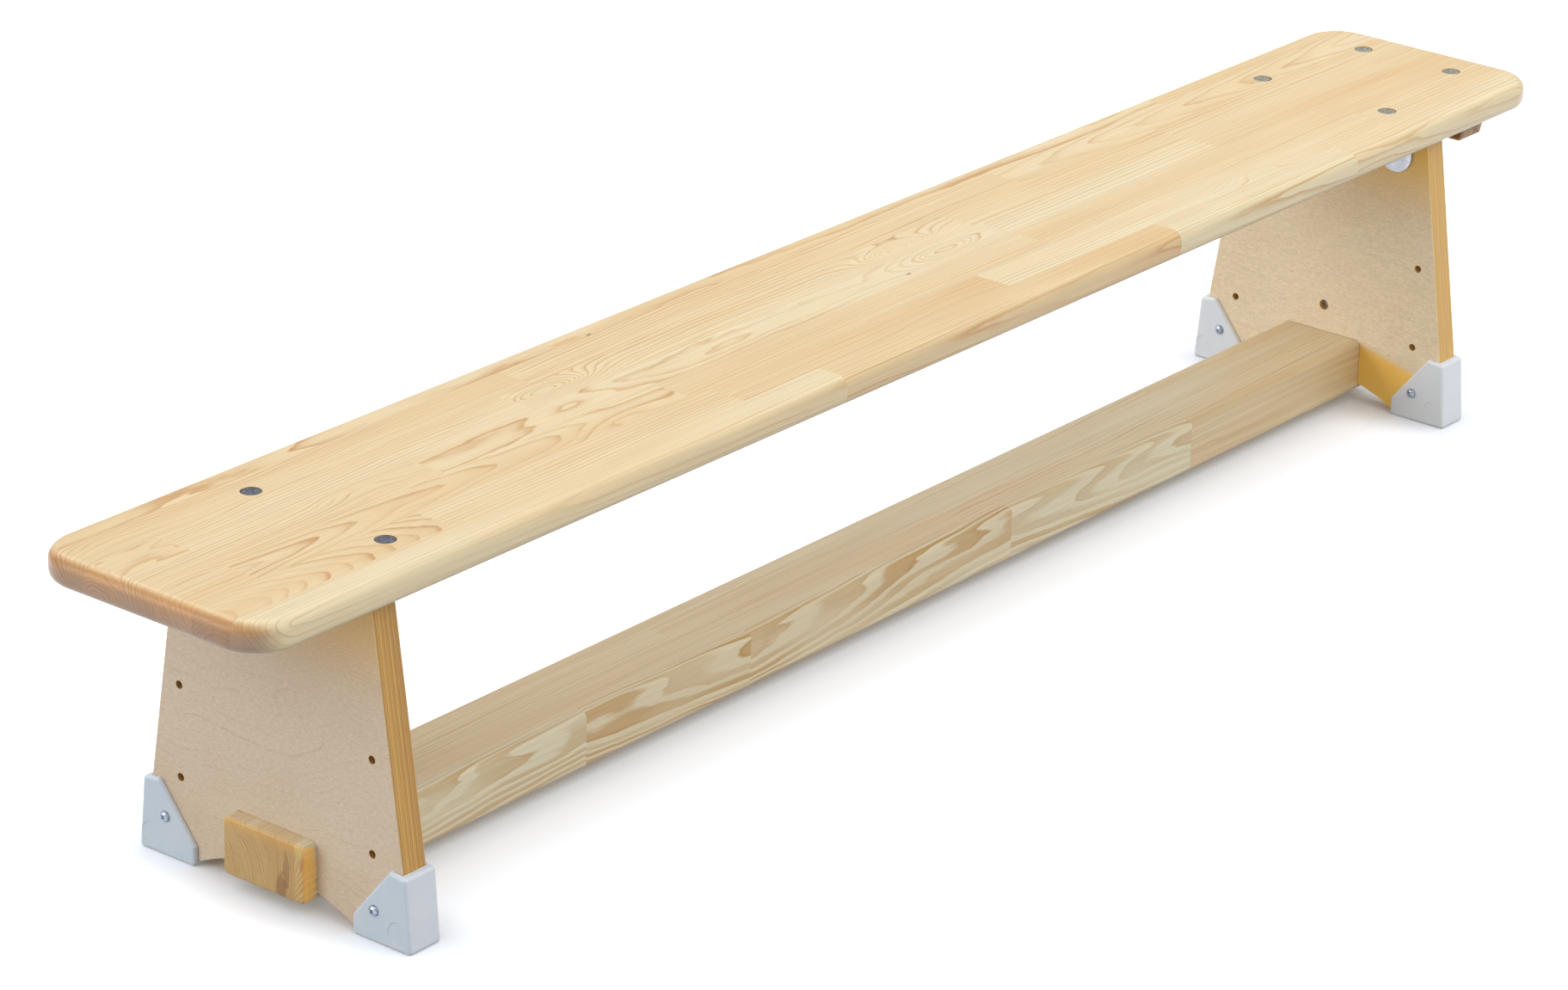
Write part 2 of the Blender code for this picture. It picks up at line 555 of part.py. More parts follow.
def build_batten(parts, cutters, material):
    """The batten's section leans outwards from its lower edge, and runs across the bench."""
    lean = BATTEN_HEIGHT * math.tan(BATTEN_LEAN)
    inner_top = BATTEN_BOLT_PLACE - BATTEN_BOLT_FROM_EDGE
    outline = [(inner_top - lean, BATTEN_BOTTOM), (inner_top - lean + BATTEN_WIDTH, BATTEN_BOTTOM),
               (inner_top + BATTEN_WIDTH, BATTEN_TOP), (inner_top, BATTEN_TOP)]
    batten = extruded("hook_batten", outline, BATTEN_LENGTH, parts, ALONG)
    round_edges(batten, BATTEN_EDGE_BEVEL, FOOT_EDGE_SEGMENTS)
    for side_name, (x, y) in batten_bolt_places().items():
        drill(batten, "batten_bolt_hole_" + side_name, BOLT_SHANK + 2 * BOLT_HOLE_PLAY,
              (x, y, BATTEN_TOP + CUT_OVERRUN), (x, y, BATTEN_BOTTOM + BATTEN_POCKET_DEPTH / 2), cutters)
        drill(batten, "batten_pocket_" + side_name, BATTEN_POCKET_DIAMETER,
              (x, y, BATTEN_BOTTOM - CUT_OVERRUN), (x, y, BATTEN_BOTTOM + BATTEN_POCKET_DEPTH),
              cutters, ROUND_STEPS)
    return finish(batten, material)


def build_beam_fastenings(parts, cutters, zinc, steel):
    """Upright bolts with their heads and washers in the beam's pockets, and the nuts in the legs."""
    places = {end_name: (end * LEG_MIDDLE, 0) for end_name, end in ENDS.items()}
    washer_top = BEAM_POCKET_ROOF - FIT_GAP
    build_washers("beam_bolt_washer", BEAM_WASHER_OUTER, BEAM_BOLT_SHANK, BEAM_WASHER_THICKNESS,
                  places, washer_top, parts, zinc)
    head_top = washer_top - BEAM_WASHER_THICKNESS - FIT_GAP
    length = BEAM_BOLT_END - head_top
    shank, head, head_height = BEAM_BOLT_SHANK / 2, BEAM_BOLT_HEAD / 2, BEAM_BOLT_HEAD_HEIGHT
    profile = [(0, length), (shank - BOLT_EDGE, length), (shank, length - BOLT_EDGE), (shank, 0), (head, 0),
               (head, -0.4 * head_height), (0.8 * head, -0.9 * head_height), (0, -head_height)]
    bolt = turned("beam_bolt", profile, SMALL_ROUND_STEPS, parts)
    copies(bolt, at_tops("beam_bolt", places, head_top), parts, steel)
    lying = Matrix.Rotation(math.pi / 2, 4, "Y")
    nut = round_bar("barrel_nut", BARREL_NUT_DIAMETER / 2, BARREL_NUT_LENGTH, ROUND_STEPS, parts, lying)
    drill(nut, "barrel_nut_bore", BEAM_BOLT_SHANK + 2 * FIT_GAP, (0, 0, -BARREL_NUT_DIAMETER),
          (0, 0, BARREL_NUT_DIAMETER), cutters)
    upright = at_tops("barrel_nut", places, BARREL_NUT_CENTRE)
    copies(nut, {name: place @ lying for name, place in upright.items()}, parts, steel)


def build_bench():
    clear_scene()
    parts, cutters = make_collection("gymnastics_bench"), make_collection("bench_cutters")
    build_seat(parts, cutters, make_material("seat_pine", (0.78, 0.58, 0.33), 0.42))
    build_beam(parts, cutters, make_material("beam_pine", (0.76, 0.57, 0.33), 0.42))
    build_batten(parts, cutters, make_material("batten_beech", (0.55, 0.37, 0.24), 0.5))
    for end_name in ENDS:
        plywood = make_material(f"leg_plywood_{end_name}", (0.70, 0.53, 0.36), 0.45)
        build_leg(end_name, parts, cutters, plywood)
        for side_name in SIDES:
            place = f"{end_name}_{side_name}"
            plastic = make_material("foot_plastic_" + place, (0.80, 0.83, 0.86), 0.38)
            build_foot(end_name, side_name, parts, cutters, plastic)
            zinc = make_material("bracket_zinc_" + place, (0.62, 0.65, 0.70), 0.35, 1.0)
            build_bracket(end_name, side_name, parts, cutters, zinc)
    build_foot_screws(parts, make_material("foot_screw_zinc", (0.66, 0.68, 0.70), 0.28, 1.0))
    build_bracket_screws(parts, make_material("bracket_screw_zinc", (0.66, 0.68, 0.70), 0.3, 1.0))

    dark_steel = make_material("seat_bolt_steel", (0.16, 0.18, 0.21), 0.45, 1.0)
    washer_zinc = make_material("washer_zinc", (0.62, 0.64, 0.66), 0.35, 1.0)
    nut_zinc = make_material("nut_zinc", (0.58, 0.60, 0.63), 0.4, 1.0)
    places = seat_bolt_places()
    washer_top = BRACKET_TOP - BRACKET_THICKNESS - FIT_GAP
    nut_top = washer_top - WASHER_THICKNESS - FIT_GAP
    build_bolts("seat_bolt", places, nut_top - NUT_HEIGHT - BOLT_END_PAST_NUT, parts, dark_steel)
    build_washers("seat_washer", WASHER_OUTER, BOLT_SHANK, WASHER_THICKNESS, places, washer_top, parts,
                  washer_zinc)
    build_nuts("seat_nut", places, nut_top, parts, cutters, nut_zinc)

    places = batten_bolt_places()
    washer_top = BATTEN_BOTTOM + BATTEN_POCKET_DEPTH - FIT_GAP
    nut_top = washer_top - WASHER_THICKNESS - FIT_GAP
    build_bolts("batten_bolt", places, BATTEN_BOTTOM + FIT_GAP, parts, dark_steel)
    build_washers("batten_washer", WASHER_OUTER, BOLT_SHANK, WASHER_THICKNESS, places, washer_top, parts,
                  washer_zinc)
    build_nuts("batten_nut", places, nut_top, parts, cutters, nut_zinc)
    build_beam_fastenings(parts, cutters, washer_zinc,
                          make_material("beam_bolt_steel", (0.50, 0.51, 0.53), 0.4, 1.0))


build_bench()
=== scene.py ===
# The looks of a two metre gymnastics bench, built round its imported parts.
# Metres, X along the bench, Y across it, the floor at Z = 0.
import math

import bmesh
import bpy
import numpy as np
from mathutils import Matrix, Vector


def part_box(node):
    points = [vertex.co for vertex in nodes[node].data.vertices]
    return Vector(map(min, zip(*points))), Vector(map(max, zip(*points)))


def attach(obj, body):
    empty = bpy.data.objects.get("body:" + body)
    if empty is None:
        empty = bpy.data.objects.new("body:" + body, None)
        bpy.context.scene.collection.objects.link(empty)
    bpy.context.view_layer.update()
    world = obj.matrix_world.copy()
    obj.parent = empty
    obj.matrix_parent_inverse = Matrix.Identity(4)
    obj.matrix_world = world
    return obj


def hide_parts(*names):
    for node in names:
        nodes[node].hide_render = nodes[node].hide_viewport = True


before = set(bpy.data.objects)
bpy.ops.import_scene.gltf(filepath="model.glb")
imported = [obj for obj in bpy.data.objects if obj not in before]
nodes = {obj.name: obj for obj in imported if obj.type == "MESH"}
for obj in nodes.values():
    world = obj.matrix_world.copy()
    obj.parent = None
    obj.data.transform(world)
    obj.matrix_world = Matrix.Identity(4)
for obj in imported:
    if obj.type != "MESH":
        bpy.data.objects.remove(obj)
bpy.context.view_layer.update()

scene = bpy.context.scene
ends = {"near": -1, "far": 1}
sides = {"front": -1, "back": 1}
# How pieces fit: the gap round a part let into another, and how far a cutter reaches past its piece
play, overrun = 0.0003, 0.01
print("frame loaded:", len(nodes), "nodes")


def labelOf(*words):
    # The words of a node's name, as the end of a piece's name.
    return "".join(word.capitalize() for word in words)


# Small helpers for arrays and meshes

def boxOf(node):
    low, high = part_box(node)
    return np.array(low), np.array(high)


def middleOf(node):
    low, high = boxOf(node)
    return (low + high) / 2


def pointsOf(piece):
    points = np.zeros(len(piece.data.vertices) * 3, np.float32)
    piece.data.vertices.foreach_get("co", points)
    return points.reshape(-1, 3)


def rectangle(lowA, lowB, highA, highB):
    return [(lowA, lowB), (highA, lowB), (highA, highB), (lowA, highB)]


def filletOutline(corners, radius, steps):
    # Each corner P gives way to an arc of radius r. The arc's centre lies on the corner's bisector at
    # r over the sine of half the corner's angle, and the arc sweeps a half turn less that angle.
    # The two parameters are the corner's number and the share of the sweep.
    corner = np.array(corners, float)
    toLast = np.roll(corner, 1, axis=0) - corner
    toNext = np.roll(corner, -1, axis=0) - corner
    toLast /= np.linalg.norm(toLast, axis=1)[:, None]
    toNext /= np.linalg.norm(toNext, axis=1)[:, None]
    half = np.arccos(np.clip((toLast * toNext).sum(1), -1, 1))[:, None] / 2
    bisector = toLast + toNext
    bisector /= np.linalg.norm(bisector, axis=1)[:, None]
    centre = corner + bisector * radius / np.sin(half)
    start = corner + toLast * radius / np.tan(half) - centre
    turn = np.sign(toLast[:, 1] * toNext[:, 0] - toLast[:, 0] * toNext[:, 1])[:, None]
    angle = turn * (math.pi - 2 * half) * np.linspace(0, 1, steps + 1)[None, :]
    arcX = start[:, :1] * np.cos(angle) - start[:, 1:] * np.sin(angle)
    arcY = start[:, :1] * np.sin(angle) + start[:, 1:] * np.cos(angle)
    return np.stack([centre[:, :1] + arcX, centre[:, 1:] + arcY], axis=2).reshape(-1, 2)


def insetOutline(outline, depths):
    # A point P moves in along its mitre: P less the mean outward normal times the depth, over the
    # cosine of half the turn there, or 0.3 at least. The parameters are the depth and P's number.
    ahead = np.roll(outline, -1, axis=0) - outline
    ahead /= np.linalg.norm(ahead, axis=1)[:, None]
    behind = np.roll(ahead, 1, axis=0)
    normal = np.stack([ahead[:, 1] + behind[:, 1], -ahead[:, 0] - behind[:, 0]], axis=1)
    normal /= np.linalg.norm(normal, axis=1)[:, None]
    cosine = normal[:, 0] * ahead[:, 1] - normal[:, 1] * ahead[:, 0]
    mitre = normal / np.clip(cosine, 0.3, 1)[:, None]
    return outline[None, :, :] - mitre[None, :, :] * np.asarray(depths)[:, None, None]


def plateRings(outline, low, high, edgeRadius, edgeSteps):
    # The outline carried up a rounded edge: a quarter arc out of the lower face, then a quarter arc
    # into the upper one. The two parameters are the angle on the edge and the place on the outline.
    turn = np.linspace(0, math.pi / 2, edgeSteps + 1)
    depth = edgeRadius * np.concatenate([1 - np.sin(turn), 1 - np.cos(turn)])
    height = np.concatenate([low + edgeRadius * (1 - np.cos(turn)), high - edgeRadius * (1 - np.sin(turn))])
    flat = insetOutline(outline, depth)
    return np.concatenate([flat, np.broadcast_to(height[:, None, None], flat.shape[:2] + (1,))], axis=2)


def newObject(name, data):
    made = bpy.data.objects.new(name, data)
    scene.collection.objects.link(made)
    return made


def newPiece(name, points, faces):
    mesh = bpy.data.meshes.new(name)
    mesh.from_pydata(points, [], faces)
    mesh.validate()
    return newObject(name, mesh)


def ringMesh(name, rings):
    # Quads join each ring of points to the next, and a flat face closes the first and the last ring.
    ringCount, around = rings.shape[:2]
    grid = np.arange(ringCount * around).reshape(ringCount, around)
    ahead = np.roll(grid, -1, axis=1)
    quads = np.stack([grid[:-1], ahead[:-1], ahead[1:], grid[1:]], axis=2).reshape(-1, 4)
    faces = quads.tolist() + [grid[0, ::-1].tolist(), grid[-1].tolist()]
    return newPiece(name, rings.reshape(-1, 3).tolist(), faces)


def turnedMesh(name, profile, steps, place):
    # A profile of (radius, height) points turned about the third axis: radius times the cosine and the
    # sine of the angle. Its first and last point lie on the axis, and fans of triangles close them.
    profile = np.array(profile, float)
    angle = np.arange(steps) * 2 * math.pi / steps
    radius, height = profile[1:-1, :1], profile[1:-1, 1:]
    rings = np.stack([radius * np.cos(angle), radius * np.sin(angle), height + 0 * angle], axis=2)
    poles = np.array([[0, 0, profile[0, 1]], [0, 0, profile[-1, 1]]])
    points = place(np.concatenate([rings.reshape(-1, 3), poles]))
    grid = np.arange(rings.shape[0] * steps).reshape(-1, steps)
    ahead = np.roll(grid, -1, axis=1)
    quads = np.stack([grid[1:], ahead[1:], ahead[:-1], grid[:-1]], axis=2).reshape(-1, 4)
    last = len(points) - 1
    topFan = np.stack([np.full(steps, last - 1), grid[0], ahead[0]], axis=1)
    lowFan = np.stack([np.full(steps, last), ahead[-1], grid[-1]], axis=1)
    return newPiece(name, points.tolist(), quads.tolist() + topFan.tolist() + lowFan.tolist())


def circleOutline(centre, radius, steps):
    # The centre plus the radius times the cosine and the sine of the angle.
    angle = np.arange(steps) * 2 * math.pi / steps
    return np.stack([centre[0] + radius * np.cos(angle), centre[1] + radius * np.sin(angle)], axis=1)


def upright(points):
    return points


def acrossBench(points):
    # A drawing's own (a, b, c) becomes (c, a, b): it stands across the bench.
    return points[..., [2, 0, 1]]


def alongBench(points):
    # A drawing's own (a, b, c) becomes (a, -c, b): it stands along the bench.
    return np.stack([points[..., 0], -points[..., 2], points[..., 1]], axis=-1)


def roundedBar(name, corners, low, high, look, place=upright):
    # The outline with its corners rounded, carried up a rounded edge.
    outline = filletOutline(corners, look["cornerRadius"], look["cornerSteps"])
    return ringMesh(name, place(plateRings(outline, low, high, look["edgeRadius"], look["edgeSteps"])))


def straightCutter(outline, low, high, place):
    # The outline carried straight from the low height to the high one.
    return ringMesh("cutter", place(plateRings(outline, low, high, 0.0, 0)))


def roundCutter(centre, radius, low, high, place=upright, steps=40):
    return straightCutter(circleOutline(centre, radius, steps), low, high, place)


def washerCutter(node, radius, underside):
    # A round pocket from below, as deep as the washer in it.
    return roundCutter(middleOf(node)[:2], radius, underside - overrun, boxOf(node)[1][2] + play)


def bakedMesh(piece):
    bpy.context.view_layer.update()
    graph = bpy.context.evaluated_depsgraph_get()
    return bpy.data.meshes.new_from_object(piece.evaluated_get(graph), depsgraph=graph)


def cutAway(piece, cutters):
    # Takes the cutters out of the piece, one after another, and clears them away.
    for cutter in cutters:
        cut = piece.modifiers.new("cut", "BOOLEAN")
        cut.operation = "DIFFERENCE"
        cut.solver = "EXACT"
        cut.object = cutter
    mesh = bakedMesh(piece)
    piece.modifiers.clear()
    piece.data = mesh
    for cutter in cutters:
        bpy.data.objects.remove(cutter, do_unlink=True)


def sliceFaces(solid, faces, point, normal):
    # Splits the faces where the plane through the point crosses them.
    geometry = dict.fromkeys(item for face in faces for item in (*face.verts, *face.edges, face))
    bmesh.ops.bisect_plane(solid, geom=list(geometry), plane_co=point, plane_no=normal, dist=1e-6)


def softenEdges(piece, width, segments, sharpest):
    bevel = piece.modifiers.new("softened", "BEVEL")
    bevel.width = width
    bevel.segments = segments
    bevel.limit_method = "ANGLE"
    bevel.angle_limit = math.radians(sharpest)
    bevel.harden_normals = False


def finishPiece(piece, name, material, node, sharpest=38):
    # Smooth shading that stays flat on the flats, then the piece's body, and the CAD node it replaces
    # hidden.
    piece.name = name
    piece.data.name = name
    piece.data.materials.clear()
    piece.data.materials.append(material)
    piece.data.shade_smooth()
    piece.data.set_sharp_from_angle(angle=math.radians(sharpest))
    weighted = piece.modifiers.new("even normals", "WEIGHTED_NORMAL")
    weighted.mode = "FACE_AREA"
    weighted.keep_sharp = True
    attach(piece, "root")
    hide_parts(node)


# Small helpers for node materials

def paint(red, green, blue):
    # A screen colour of 0 to 255 becomes the light it stands for.
    share = np.array([red, green, blue]) / 255
    light = np.where(share <= 0.04045, share / 12.92, ((share + 0.055) / 1.055) ** 2.4)
    return (*(float(value) for value in light), 1.0)


def newMaterial(name):
    material = bpy.data.materials.new(name)
    material.use_nodes = True
    tree = material.node_tree
    return material, tree, tree.nodes["Principled BSDF"]


def fill(node, values):
    # Sets inputs, by name or number, to a plain value or to what another node gives.
    for key, value in values.items():
        if isinstance(value, bpy.types.NodeSocket):
            node.id_data.links.new(value, node.inputs[key])
        else:
            node.inputs[key].default_value = value


def added(tree, kind, *values, **settings):
    # A new node with its settings, and its first inputs filled in order.
    made = tree.nodes.new("ShaderNode" + kind)
    for name, value in settings.items():
        setattr(made, name, value)
    fill(made, dict(enumerate(values)))
    return made


def treeOf(*values):
    # The node tree of the first of the values that another node gives.
    return next(value.id_data for value in values if isinstance(value, bpy.types.NodeSocket))


def mathOf(operation, *values):
    return added(treeOf(*values), "Math", *values, operation=operation).outputs[0]


def times(first, *others):
    for other in others:
        first = mathOf("MULTIPLY", first, other)
    return first


def plus(first, *others):
    for other in others:
        first = mathOf("ADD", first, other)
    return first


def minus(first, second):
    return mathOf("SUBTRACT", first, second)


def over(first, second):
    return mathOf("DIVIDE", first, second)


def absolute(value):
    return mathOf("ABSOLUTE", value)


def largest(first, second):
    return mathOf("MAXIMUM", first, second)


def isOver(value, limit):
    # 1 where the value is over the limit, else 0.
    return mathOf("GREATER_THAN", value, limit)


def squaresOf(first, second):
    return mathOf("MULTIPLY_ADD", first, first, times(second, second))


def scaled(value, factor, start):
    # The value times the factor, from a start.
    return mathOf("MULTIPLY_ADD", value, factor, start)


def swung(noise, size):
    # From 1 less the size to 1 plus the size, as the noise runs from 0 to 1.
    return scaled(noise, size * 2, 1.0 - size)


def vectorMath(operation, *values):
    return added(treeOf(*values), "VectorMath", *values, operation=operation).outputs[0]


def lengthOf(vector):
    return added(vector.id_data, "VectorMath", vector, operation="LENGTH").outputs["Value"]


def splitVector(vector):
    return tuple(added(vector.id_data, "SeparateXYZ", vector).outputs)


def joinVector(x, y, z):
    return added(treeOf(x, y, z), "CombineXYZ", x, y, z).outputs[0]


def objectPlace(tree):
    return added(tree, "TexCoord").outputs["Object"]


def normalAlongX(tree):
    return splitVector(added(tree, "NewGeometry").outputs["Normal"])[0]


def attributeOf(tree, name):
    return splitVector(added(tree, "Attribute", attribute_name=name).outputs["Vector"])


def noiseOf(vector, stretch, detail, roughness=0.5, distortion=0.0):
    # Noise over a place stretched along each axis, from about 0 to 1. The looks name each noise by its
    # stretch, detail, roughness and distortion.
    made = added(vector.id_data, "TexNoise", vectorMath("MULTIPLY", vector, stretch))
    fill(made, {"Scale": 1.0, "Detail": detail, "Roughness": roughness, "Distortion": distortion})
    return made.outputs[0]


def chanceOf(vector):
    # A number from 0 to 1 that is the same wherever the vector is the same.
    return added(vector.id_data, "TexWhiteNoise", vector, noise_dimensions="3D").outputs["Value"]


def risingOver(span):
    return (span[0], 0.0), (span[1], 1.0)


def rampOf(share, stops, smooth=False):
    # Stops are (position, value from 0 to 1) pairs.
    made = added(share.id_data, "ValToRGB", share)
    made.color_ramp.interpolation = "EASE" if smooth else "LINEAR"
    elements = made.color_ramp.elements
    while len(elements) < len(stops):
        elements.new(1.0)
    for element, (position, value) in zip(elements, stops):
        element.position = position
        element.color = (value, value, value, 1.0)
    return made.outputs[0]


def patchesOf(vector, noise, stops):
    # Noise turned into soft patches.
    return rampOf(noiseOf(vector, *noise), stops, True)


def mixColors(share, first, second, mode="MIX"):
    made = added(treeOf(share, first, second), "Mix", data_type="RGBA", blend_type=mode, clamp_factor=True)
    fill(made, {0: share, 6: first, 7: second})
    return made.outputs[2]


def tinted(color, tint):
    # The colour times the tint, which may be a plain number.
    return mixColors(1.0, color, tint, "MULTIPLY")


def dress(shader, color, roughness, height, relief, strength=0.5, **others):
    # Joins a material's colour, roughness and relief to its shader, then the shader's other sockets.
    bump = added(shader.id_data, "Bump")
    fill(bump, {"Strength": strength, "Distance": relief, "Height": height})
    fill(shader, {"Base Color": color, "Roughness": roughness, "Normal": bump.outputs[0]})
    names = {"specular": "Specular IOR Level", "coat": "Coat Weight", "coatRoughness": "Coat Roughness",
             "metallic": "Metallic"}
    fill(shader, {names[name]: value for name, value in others.items()})


# Pine, cut from staves. Each stave knows where the heart of its tree lies.
pineLook = {
    "early": paint(220, 206, 170), "earlyWarm": paint(211, 177, 124),
    "late": paint(184, 138, 68), "lateWarm": paint(184, 122, 54), "lateShare": 1.0,
    # How late the wood is at each share of a ring's width, and how unlike the rings are
    "ringShape": ((0.0, 0.0), (0.40, 0.02), (0.70, 0.26), (0.84, 0.74), (0.93, 1.0), (1.0, 0.0)),
    "ringUnevenness": 0.85, "unevenNoise": ((0.35, 3.0, 1.0), 1.0), "weakestRing": 0.40,
    # What bends the rings: slow and quick noise, and whorls with their reach along and across
    "wobble": 0.0042, "wobbleNoise": ((3.2, 17.0, 17.0), 2.0, 0.55), "wobbleApart": 5.3,
    "ripple": 0.0009, "rippleNoise": ((14.0, 70.0, 70.0), 2.0, 0.55), "rippleApart": 1.7,
    "whorlReach": (0.055, 0.017),
    # Slow patches, in which the late wood is fainter or the early wood warmer
    "faintNoise": ((3.5, 26.0, 26.0), 1.0), "faintPatches": ((0.34, 0.40), (0.56, 1.0)),
    "warmNoise": ((1.6, 16.0, 16.0), 2.0), "warmPatches": ((0.38, 0.0), (0.66, 1.0)),
    "warmMiddle": 0.45, "warmPower": 0.35,
    "fibre": 0.11, "fibreNoise": ((9.0, 900.0, 900.0), 3.0, 0.65),
    # The streaks, then painted shade that darkens the wood a little towards the near end, where less light
    # falls
    "streak": 0.14, "streakNoise": ((6.0, 300.0, 300.0), 3.0, 0.65), "nearPaintedShade": 0.04,
    # End grain: its own tint low down, its tint at the upper edge, which is painted light, the heights
    # between which it turns, and how far a face has to look along X
    "endTint": paint(214, 195, 200), "endPaintedLight": paint(236, 198, 152), "endSpan": (0.334, 0.345),
    "endShade": 0.26, "endFacing": (0.20, 0.78),
    # Knots and stains: centre, reach along each axis, colour, how much of it
    "spots": (
        ((-0.295, 0.1120, 0.35), (0.0050, 0.0022, 0.02), paint(96, 70, 44), 0.75),
        ((-0.325, 0.1160, 0.35), (0.0260, 0.0050, 0.02), paint(196, 138, 72), 0.45),
        ((0.0410, -0.0100, 0.35), (0.0045, 0.0022, 0.02), paint(104, 78, 50), 0.65),
    ),
    "spotFray": 0.9, "frayNoise": ((90.0, 160.0, 160.0), 2.0), "spotEdge": ((0.55, 1.0), (1.0, 0.0)),
    # The lacquer: its roughness with what fibres and late wood add, its relief and its shine
    "rough": 0.36, "fibreRough": 0.10, "lateRough": -0.05, "relief": 0.00012, "lateRelief": 0.5,
    "specular": 0.45, "coat": 0.25, "coatRough": 0.20,
}


def makePine(name, look):
    # The growth rings are cylinders about the stave's heart line, which drifts along X and is bent by
    # noise and by whorls, round bumps that fall off as e to the minus square of the share of their reach.
    # The distance from the heart over the ring's width, less its whole part, runs from early to late wood.
    material, tree, shader = newMaterial(name)
    place = objectPlace(tree)
    x, y, z = splitVector(place)
    heartY, heartZ, ringWidth = attributeOf(tree, "heart")
    driftY, driftZ, shift = attributeOf(tree, "drift")
    wild, lateStrength, warmth = attributeOf(tree, "stave")
    shifted = joinVector(plus(x, shift), y, plus(z, shift))

    def wavering(kind, apart):
        moved = vectorMath("ADD", shifted, (apart, apart, apart))
        swing = minus(noiseOf(moved, *look[kind + "Noise"]), 0.5)
        return times(swing, look[kind] * 2, wild)

    def whorl(attribute):
        whorlX, whorlY, height = attributeOf(tree, attribute)
        shareX = over(minus(x, whorlX), look["whorlReach"][0])
        shareY = over(minus(y, whorlY), look["whorlReach"][1])
        fall = times(squaresOf(shareX, shareY), -1.0)
        return times(mathOf("EXPONENT", fall), height)

    alongY = minus(y, scaled(driftY, x, heartY))
    alongZ = minus(z, scaled(driftZ, x, heartZ))
    alongY = plus(alongY, wavering("wobble", 0.0))
    alongZ = plus(alongZ, wavering("wobble", look["wobbleApart"]))
    distance = mathOf("SQRT", squaresOf(alongY, alongZ))
    distance = plus(distance, wavering("ripple", look["rippleApart"]), whorl("whorlA"), whorl("whorlB"))
    rings = over(distance, ringWidth)
    uneven = noiseOf(joinVector(rings, shift, 0.0), *look["unevenNoise"])
    rings = scaled(uneven, look["ringUnevenness"] * 2, rings)
    late = rampOf(mathOf("FRACT", rings), look["ringShape"])
    seed = joinVector(mathOf("FLOOR", rings), shift, 0.0)
    power = scaled(chanceOf(seed), 1.0 - look["weakestRing"], look["weakestRing"])
    shown = patchesOf(shifted, look["faintNoise"], look["faintPatches"])
    late = times(late, power, lateStrength, shown)

    patch = patchesOf(shifted, look["warmNoise"], look["warmPatches"])
    tone = scaled(minus(patch, look["warmMiddle"]), look["warmPower"], warmth)
    early = mixColors(tone, look["early"], look["earlyWarm"])
    lateColor = mixColors(tone, look["late"], look["lateWarm"])
    color = mixColors(times(late, look["lateShare"]), early, lateColor)
    fibre = noiseOf(shifted, *look["fibreNoise"])
    streak = noiseOf(shifted, *look["streakNoise"])
    # Painted shade: the wood turns a little darker towards the near end
    nearer = scaled(x, look["nearPaintedShade"], 1.0 - look["nearPaintedShade"])
    color = tinted(color, times(swung(fibre, look["fibre"]), swung(streak, look["streak"]), nearer))
    fray = times(minus(noiseOf(place, *look["frayNoise"]), 0.5), look["spotFray"])
    # Knots and stains; on the beam, one patch is painted shade
    for centre, reach, spotColor, strength in look["spots"]:
        away = vectorMath("DIVIDE", vectorMath("SUBTRACT", place, centre), reach)
        away = plus(lengthOf(away), fray)
        spot = times(rampOf(away, look["spotEdge"], True), strength)
        color = mixColors(spot, color, spotColor)

    # End grain soaks up more, by as much as the stave's own share says
    endGrain = rampOf(absolute(normalAlongX(tree)), risingOver(look["endFacing"]), True)
    soaked = attributeOf(tree, "soaked")[0]
    # Painted light: the end grain turns lighter and warmer towards its upper edge
    glow = rampOf(z, risingOver(look["endSpan"]), True)
    ending = mixColors(glow, look["endTint"], look["endPaintedLight"])
    ending = tinted(ending, scaled(soaked, -look["endShade"], 1.0))
    color = mixColors(endGrain, color, tinted(color, ending))
    rough = scaled(late, look["lateRough"], scaled(fibre, look["fibreRough"], look["rough"]))
    dress(shader, color, rough, scaled(late, look["lateRelief"], fibre), look["relief"],
          specular=look["specular"], coat=look["coat"], coatRoughness=look["coatRough"])
    return material


# How a stave was cut from its tree: how far the heart lies to the back and below the upper face, its
# drift upwards and to the back for each metre, the ring's width, how wild the grain runs, and how
# strong the late wood is
staveCuts = {
    "straight": (0.085, 0.060, 0.004, 0.022, 0.0040, 2.2, 1.0),
    "fine": (0.100, 0.030, 0.003, 0.012, 0.0031, 0.8, 1.0),
    "archAhead": (0.002, 0.034, -0.052, 0.004, 0.0038, 1.9, 1.0),
    "archBack": (-0.002, 0.034, 0.044, 0.004, 0.0040, 1.7, 0.8),
    "faint": (0.085, 0.060, 0.004, 0.022, 0.0040, 1.8, 0.68),
    "shortArch": (-0.010, 0.052, -0.120, 0.002, 0.0036, 0.9, 1.0),
    "swirl": (0.006, 0.026, 0.020, 0.008, 0.0036, 2.6, 1.0),
    "flamed": (0.004, 0.030, 0.012, 0.006, 0.0062, 3.4, 1.0),
    "pale": (0.110, 0.070, 0.003, 0.012, 0.0031, 0.7, 0.60),
    "plain": (0.120, 0.090, 0.006, 0.010, 0.0048, 1.2, 0.72),
    "faceAhead": (0.034, 0.020, 0.004, -0.046, 0.0046, 1.6, 1.6),
    "faceBack": (0.034, 0.014, 0.002, 0.040, 0.0052, 2.0, 1.6),
}
cutSway = 0.15  # share by which one stave may differ from its kind
rowApart, metreApart = 3.1, 7.7  # set each stave's noise apart from its neighbours'
sliver = 1e-4  # lets the faces at a stave's very end belong to it


